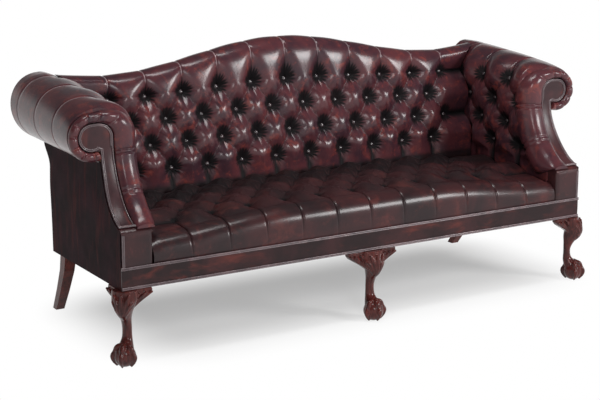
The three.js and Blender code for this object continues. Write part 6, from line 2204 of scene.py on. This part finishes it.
@dataclass
class CabrioleLeg(SubAssembly):
    """Front leg: a cabriole with carved leaves on its knee and a claw gripping a ball."""

    node: str = "front_centre_leg"
    foot: tuple[float, float] = (0.0, -308 * MM)
    facing: float = math.radians(-90)
    corner: bool = False
    mirror_node: str = ""
    top: float = 256.2 * MM
    ball_radius: float = 37 * MM
    ball_height: float = 35 * MM
    stem_steps: int = 44
    stem_sides: int = 28
    ball_segments: int = 32
    ball_rings: int = 20
    height_shares: tuple[float, ...] = (0.19, 0.29, 0.35, 0.42, 0.5, 0.6, 0.68, 0.76, 0.82, 0.875,
                                        0.935, 1.0)
    forward_shares: tuple[float, ...] = (-0.11, -0.43, -0.65, -0.71, -0.70, -0.54, -0.31, -0.18, -0.18,
                                         -0.22, -0.30, -0.34)
    deep_shares: tuple[float, ...] = (0.81, 0.65, 0.45, 0.37, 0.39, 0.57, 0.84, 0.93, 0.93, 0.88,
                                      0.78, 0.70)
    wide_shares: tuple[float, ...] = (0.81, 0.60, 0.49, 0.45, 0.45, 0.48, 0.62, 0.84, 1.03, 1.16,
                                      1.19, 1.16)
    claw_turns: tuple[float, ...] = (0, 72, -72, 180)
    claw_radius: float = 8.2 * MM
    claw_steps: int = 22
    claw_reach_shares: tuple[float, ...] = (0.30, 0.66, 0.93, 1.06, 1.00, 0.72)
    claw_rise_shares: tuple[float, ...] = (1.02, 0.80, 0.42, 0.0, -0.45, -0.82)
    claw_size_shares: tuple[float, ...] = (1.0, 1.25, 0.82, 1.2, 0.72, 0.5)
    wing_reach: float = 104 * MM
    wing_drop: float = 76 * MM
    wing_front: float = -297.5 * MM
    wing_side: float = 983.8 * MM
    wing_thickness: float = 26 * MM
    wing_run_shares: tuple[float, ...] = (0.13, 0.27, 0.40, 0.54, 0.72, 0.88, 0.98, 0.97)
    wing_drop_shares: tuple[float, ...] = (1.0, 0.86, 0.73, 0.60, 0.46, 0.32, 0.16, 0.0)
    leaf_tips: tuple[float, ...] = (26 * MM, 52 * MM, 76 * MM, 96 * MM)
    leaf_steps: int = 20
    leaf_low: float = 158 * MM
    leaf_high: float = 243 * MM
    leaf_root_radius: float = 2.0 * MM
    leaf_radius: float = 6.4 * MM
    leaf_curl: float = 7 * MM
    leaf_root_share: float = 0.12
    leaf_spread_power: float = 1.5
    leaf_tip_start: float = 0.8
    leaf_tip_loss: float = 0.25
    leaf_curl_start: float = 0.7
    leaf_sink_share: float = 0.2
    wing_blend: Span = (0.15, 0.7)
    voxel: float = 1.7 * MM
    smooth_share: float = 0.5
    smooth_rounds: int = 4
    foot_cut: float = 0.4 * MM

    def build(self) -> None:
        """Model the leg, fuse it as carved from one block and dress it."""
        beads = [self.claw(math.radians(turn)) for turn in self.claw_turns] + self.leaves()
        parts = [self.model_stem(), self.model_ball(), self.beaded(beads), *self.model_wings()]
        leg = merged(parts, self.node + "_carved")
        refined(leg, "REMESH", mode="VOXEL", voxel_size=self.voxel)
        refined(leg, "SMOOTH", factor=self.smooth_share, iterations=self.smooth_rounds)
        cut_below(self.foot_cut)
        leg.data.transform(Matrix.Translation((0, SIZES.row_shift, 0)))
        self.dress(leg, self.node)
        if self.mirror_node:
            twin = linked(self.mirror_node + "_carved", leg.data.copy())
            twin.data.transform(Matrix.Scale(-1, 4, (1, 0, 0)))
            twin.data.flip_normals()
            self.dress(twin, self.mirror_node)

    def dress(self, leg: bpy.types.Object, node: str) -> None:
        """Smooth a leg's faces and give it its finish in place of its node."""
        outward_faces(leg.data)
        leg.data.shade_smooth()
        self.install(leg, self.finishes.carved, node, slot="leg_mahogany")

    def placed(self, piece: bpy.types.Object) -> bpy.types.Object:
        """Turn a form made on the origin to the leg's facing and stand it on the foot."""
        turn = Matrix.Rotation(self.facing + math.pi / 2, 4, "Z")
        piece.data.transform(Matrix.Translation((*self.foot, 0)) @ turn)
        return piece

    def profile(self) -> tuple[Array, Array]:
        """Middle and half widths of the stem, section by section from the ankle to the top."""
        rows = np.stack([np.array(self.height_shares) * self.top / self.ball_radius,
                         self.forward_shares, self.deep_shares, self.wide_shares], axis=1)
        rows = curve_through(rows, self.stem_steps) * self.ball_radius
        return points(0 * rows[:, 0], -rows[:, 1], rows[:, 0]), rows[:, [3, 2]]

    def model_stem(self) -> bpy.types.Object:
        """Pull the stem up through its sections, from inside the ball to under the rail."""
        path, sizes = self.profile()
        return self.placed(pulled_form(path, sizes, self.stem_sides))

    def model_ball(self) -> bpy.types.Object:
        """Turn the ball and flatten its underside."""
        choose()
        bpy.ops.mesh.primitive_uv_sphere_add(segments=self.ball_segments, ring_count=self.ball_rings,
                                             radius=self.ball_radius, location=(0, 0, self.ball_height))
        bpy.ops.object.transform_apply(location=True)
        cut_below(0)
        return self.placed(bpy.context.object)

    def claw(self, turn: float) -> Array:
        """Places and radii of the toe that lies over the ball in one direction.

        Args:
            turn: Angle from the leg's facing.

        Returns:
            Rows of x, y, z and radius.
        """
        rows = np.stack([self.claw_reach_shares, self.claw_rise_shares, self.claw_size_shares], axis=1)
        rows = curve_through(rows, self.claw_steps)
        reach = rows[:, 0] * self.ball_radius
        way = self.facing + turn
        height = self.ball_height + rows[:, 1] * self.ball_radius
        radius = rows[:, 2] * self.claw_radius
        return np.stack([self.foot[0] + reach * math.cos(way), self.foot[1] + reach * math.sin(way),
                         np.maximum(height, radius), radius], axis=1)

    def leaves(self) -> list[Array]:
        """Places and radii of the carved leaves that fan out over the knee and its wings."""
        share = spread(0, 1, self.leaf_steps)
        sections, sizes = self.profile()
        rows = []
        for side in (-1, 1):
            for tip in (0.0,) * (side == 1) + self.leaf_tips:
                height = mix(self.leaf_low + self.leaf_root_share * tip, self.leaf_high, share)
                lateral = side * tip * mix(self.leaf_root_share, 1, share**self.leaf_spread_power)
                radius = mix(self.leaf_root_radius, self.leaf_radius, np.sin(np.pi / 2 * share))
                tail = smooth((share - self.leaf_tip_start) / (1 - self.leaf_tip_start))
                radius = radius * (1 - self.leaf_tip_loss * tail)
                middle = np.interp(height, sections[:, 2], sections[:, 1])
                wide = np.interp(height, sections[:, 2], sizes[:, 0])
                deep = np.interp(height, sections[:, 2], sizes[:, 1])
                swell = np.sqrt(np.clip(1 - (lateral / wide) ** 2, 0, 1))
                curl = self.leaf_curl * smooth((share - self.leaf_curl_start) / (1 - self.leaf_curl_start))
                rows.append(self.on_knee(lateral, middle - deep * swell, height, radius, curl, swell))
        return rows

    def on_knee(self, lateral: Array, front: Array, height: Array, radius: Array, curl: Array,
                swell: Array) -> Array:
        """Lay a leaf on the knee, and past the knee on the face of a wing.

        Args:
            lateral: Distance to the side of the leg's middle.
            front: Distance of the knee's surface along its facing, backward positive.
            height: Heights.
            radius: Half thickness of the leaf.
            curl: How far its tip curls off.
            swell: How full the knee is there; 0 past its sides.

        Returns:
            Rows of x, y, z and radius.
        """
        sunk = self.leaf_sink_share * radius - curl
        turn = self.facing + math.pi / 2
        x, y = self.foot
        on_stem = np.stack([x + lateral * math.cos(turn) - (front + sunk) * math.sin(turn),
                            y + lateral * math.sin(turn) + (front + sunk) * math.cos(turn)], axis=1)
        if self.corner:
            along_front = np.stack([x - np.abs(lateral), self.wing_front + sunk], axis=1)
            along_side = np.stack([self.wing_side - sunk, y + np.abs(lateral)], axis=1)
            on_wing = np.where(lateral[:, None] < 0, along_front, along_side)
        else:
            on_wing = np.stack([x + lateral, self.wing_front + sunk], axis=1)
        start, end = self.wing_blend
        flat = mix(on_wing, on_stem, smooth((swell - start) / (end - start))[:, None])
        return np.concatenate([flat, height[:, None], radius[:, None]], axis=1)

    def beaded(self, rows: list[Array]) -> bpy.types.Object:
        """Form round strands from overlapping beads.

        Args:
            rows: Strands as rows of x, y, z and radius.

        Returns:
            One piece with all strands.
        """
        choose()
        piece = None
        for x, y, z, radius in np.concatenate(rows):
            bpy.ops.mesh.primitive_ico_sphere_add(subdivisions=2, radius=radius, location=(x, y, z))
            if piece is None:
                piece = bpy.context.object
                bpy.ops.object.transform_apply(location=True)
                bpy.ops.object.mode_set(mode="EDIT")
        bpy.ops.object.mode_set(mode="OBJECT")
        return piece

    def model_wings(self) -> list[bpy.types.Object]:
        """Model the shaped brackets beside the knee."""
        run = np.array(self.wing_run_shares) * self.wing_reach / 2
        height = self.top - np.array(self.wing_drop_shares) * self.wing_drop
        half = self.wing_thickness / 2
        along, thick = np.stack([run, 0 * run + half], axis=1), np.stack([0 * run + half, run], axis=1)
        wings = []
        for side in (-1,) if self.corner else (-1, 1):
            path = points(self.foot[0] + side * run, self.wing_front + half, height)
            wings.append(pulled_form(path, along, 4))
        if self.corner:
            path = points(self.wing_side - half, self.foot[1] + run, height)
            wings.append(pulled_form(path, thick, 4))
        return wings


@dataclass
class CottonPads(SubAssembly):
    """Layers of cotton under the leather of the seat and of the back."""

    seat_half: float = 849 * MM
    seat_run: tuple[float, float] = (-276 * MM, 245 * MM)
    seat_levels: tuple[float, float] = (347.2 * MM, 355.8 * MM)
    back_half: float = 855 * MM
    back_low: float = 97 * MM
    back_top_drop: float = 52 * MM
    back_depths: tuple[float, float] = (58 * MM, 65.5 * MM)
    columns: int = 90
    rows: int = 36
    round_share: float = 0.06
    lump: float = 1.2 * MM
    edge_share: float = 0.2
    waves: tuple[float, ...] = (31, 7, 19, 5)

    def layer(self, half: float, run: tuple[float, float], depths: tuple[float, float],
              place_at: Callable[[Array, Array, Array], Array]) -> Skin:
        """Closed layer, thinned round its edge and lumpy on its face.

        Args:
            half: Half of its width.
            run: Where it starts and ends across its other side.
            depths: Its two faces.
            place_at: Place in the room for a width, a run and a depth.

        Returns:
            The closed layer.
        """
        across = spread(-1, 1, self.columns)[:, None]
        along = spread(0, 1, self.rows)[None, :]
        x, up = np.broadcast_arrays(across * half, mix(run[0], run[1], along))
        edge = np.minimum(1 - np.abs(across), np.minimum(along, 1 - along) * 2)
        full = np.sqrt(1 - (1 - np.clip(edge / self.round_share, 0, 1)) ** 2)
        a, b, c, d = self.waves
        lumps = self.lump * (1 + np.sin(a * across + b * along) * np.sin(c * along + d * across))
        thick = (depths[1] - depths[0] - lumps) * mix(self.edge_share, 1, full)
        return sheet_skin(place_at(x, up, depths[0] + thick), place_at(x, up, depths[0]))

    def back_place(self, x: Array, share: Array, forward: Array) -> Array:
        """Place on the pad of the back, from 0 at its foot to 1 under the crest."""
        top = SIZES.crest_up(x) - self.back_top_drop
        return SIZES.slab_point(x, mix(self.back_low, top, share), forward)

    def build(self) -> None:
        """Lay the pads of the seat and of the back."""
        seat = self.layer(self.seat_half, self.seat_run, self.seat_levels, points)
        self.install(seat.mesh("seat_cotton_pad"), self.finishes.cotton, "seat_pad", 0.5, "cotton")
        back = self.layer(self.back_half, (0.0, 1.0), self.back_depths, self.back_place)
        self.install(back.mesh("back_cotton_pad"), self.finishes.cotton, "back_pad", 0.5, "cotton")


@dataclass
class HiddenFrame(SubAssembly):
    """The timber, springs, jute and rear legs of the frame, which keep their own solids."""

    def build(self) -> None:
        """Give every node that is shown as it is its finish, known by a word in its name."""
        words_of = {
            self.finishes.timber: ("rail", "post", "block", "stretcher", "upright"),
            self.finishes.steel: ("springs",), self.finishes.jute: ("burlap", "webbing"),
            self.finishes.cambric: ("dust_cover",), self.finishes.wood: ("leg",),
        }
        for name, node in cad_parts.items():
            for material, words in words_of.items():
                if any(word in name for word in words):
                    for slot in node.material_slots:
                        slot.material = material


SEEN_RAYS = ("Is Camera Ray", "Is Glossy Ray", "Is Transmission Ray")


@dataclass(frozen=True)
class SoftBox:
    """One soft lamp: where it hangs, what it faces, its sides in metres and its watts."""

    name: str
    place: Color
    target: Color
    width: float
    height: float
    power: float

    def hang(self) -> None:
        """Hang the lamp so that it faces its target."""
        data = bpy.data.lights.new(self.name, "AREA")
        data.shape = "RECTANGLE"
        data.size, data.size_y = self.width, self.height
        data.energy = self.power
        lamp = linked(self.name, data)
        lamp.location = self.place
        way = Vector(self.target) - Vector(self.place)
        lamp.rotation_euler = way.to_track_quat("-Z", "Y").to_euler()


@dataclass
class Studio:
    """Pale floor, soft light and the photograph's camera."""

    camera_place: Color = (-2.7666, -4.3382, 1.5691)
    camera_yaw: float = math.radians(31.583)
    camera_pitch: float = math.radians(13.059)
    lens: float = 83.96
    sensor: float = 36.0
    sight: float = 100.0
    floor_color: Color = (0.80, 0.80, 0.80)
    white: Color = (1.0, 1.0, 1.0)
    floor_size: float = 40.0
    near_white: float = 0.35
    shadow_half: tuple[float, float] = (0.70, 0.16)
    shadow_middle: tuple[float, float] = (0.05, 0.06)
    shadow_run: float = 0.42
    world_fade: tuple[float, ...] = (0.12, 0.42, 1.0, 0.13)
    lamps: tuple[SoftBox, ...] = (
        SoftBox("top_light", (-0.2, -0.7, 4.0), (0.0, 0.0, 0.5), 1.8, 0.6, 54.0),
        SoftBox("key_light", (2.6, -3.4, 2.3), (0.0, 0.0, 0.55), 1.6, 1.1, 122.0),
        SoftBox("front_light", (-1.35, -3.9, 2.4), (0.6, 0.0, 0.6), 0.9, 1.3, 34.0),
    )

    def build(self) -> None:
        """Set up floor, world, lamps and camera."""
        self.build_floor()
        self.build_world()
        for lamp in self.lamps:
            lamp.hang()
        self.build_camera()
        bpy.context.scene.view_settings.view_transform = "Standard"

    def build_floor(self) -> None:
        """Lay a plain pale floor that keeps the shadow near the sofa and is white beyond."""
        choose()
        bpy.ops.mesh.primitive_grid_add(x_subdivisions=8, y_subdivisions=8, size=self.floor_size)
        floor = bpy.context.object
        floor.name = "studio_floor"
        shader = Shader("studio_floor")
        beyond = shader.vector("SUBTRACT", shader.place(), (*self.shadow_middle, 0.0))
        beyond = shader.vector("SUBTRACT", shader.vector("ABSOLUTE", beyond), (*self.shadow_half, 0.0))
        away = shader.vector("LENGTH", shader.vector("MAXIMUM", beyond, (0.0, 0.0, 0.0)), out="Value")
        share = away.between(0.0, self.shadow_run) * (1 - self.near_white) + self.near_white
        seen, *others = [shader.node("ShaderNodeLightPath", out=ray) for ray in SEEN_RAYS]
        for ray in others:
            seen = seen.math("MAXIMUM", ray)
        matt = shader.node("ShaderNodeBsdfDiffuse", None, {"Color": self.floor_color}, "BSDF")
        white = shader.node("ShaderNodeEmission", None, {"Strength": 1.0}, "Emission")
        closed = shader.node("ShaderNodeMixShader", None, {0: seen * share, 1: matt, 2: white})
        floor.data.materials.append(shader.close(closed))

    def build_world(self) -> None:
        """Surround the scene with white walls and a dim ceiling."""
        world = Shader("studio_world", "World")
        height = world.node("ShaderNodeSeparateXYZ", None, {0: world.node("ShaderNodeTexCoord")}, "Z")
        limits = dict(zip(("From Min", "From Max", "To Min", "To Max"), self.world_fade))
        fade = {"interpolation_type": "SMOOTHSTEP"}
        strength = world.node("ShaderNodeMapRange", fade, {"Value": height, **limits})
        source = world.node("ShaderNodeBackground", None, {"Color": self.white, "Strength": strength})
        bpy.context.scene.world = world.close(source)

    def build_camera(self) -> None:
        """Stand the camera where the photograph was taken from."""
        data = bpy.data.cameras.new("camera")
        data.lens = self.lens
        data.sensor_width = self.sensor
        data.clip_end = self.sight
        camera = linked("camera", data)
        camera.location = self.camera_place
        camera.rotation_euler = (math.pi / 2 - self.camera_pitch, 0.0, -self.camera_yaw)
        bpy.context.scene.camera = camera


def main() -> None:
    """Build the sofa's sub-assemblies in order."""
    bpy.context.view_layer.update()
    finishes = Finishes()
    InsideBack(finishes).build()
    SeatDeck(finishes).build()
    for side in Side:
        RolledArm(finishes, side).build()
        ArmFront(finishes, side).build()
    OutsidePanels(finishes).build()
    CabrioleLeg(finishes).build()
    corner_foot = (975 * MM, -290 * MM)
    CabrioleLeg(finishes, "front_right_leg", corner_foot, math.radians(-45), True, "front_left_leg").build()
    CottonPads(finishes).build()
    HiddenFrame(finishes).build()
    Studio().build()


if __name__ == "__main__":
    main()
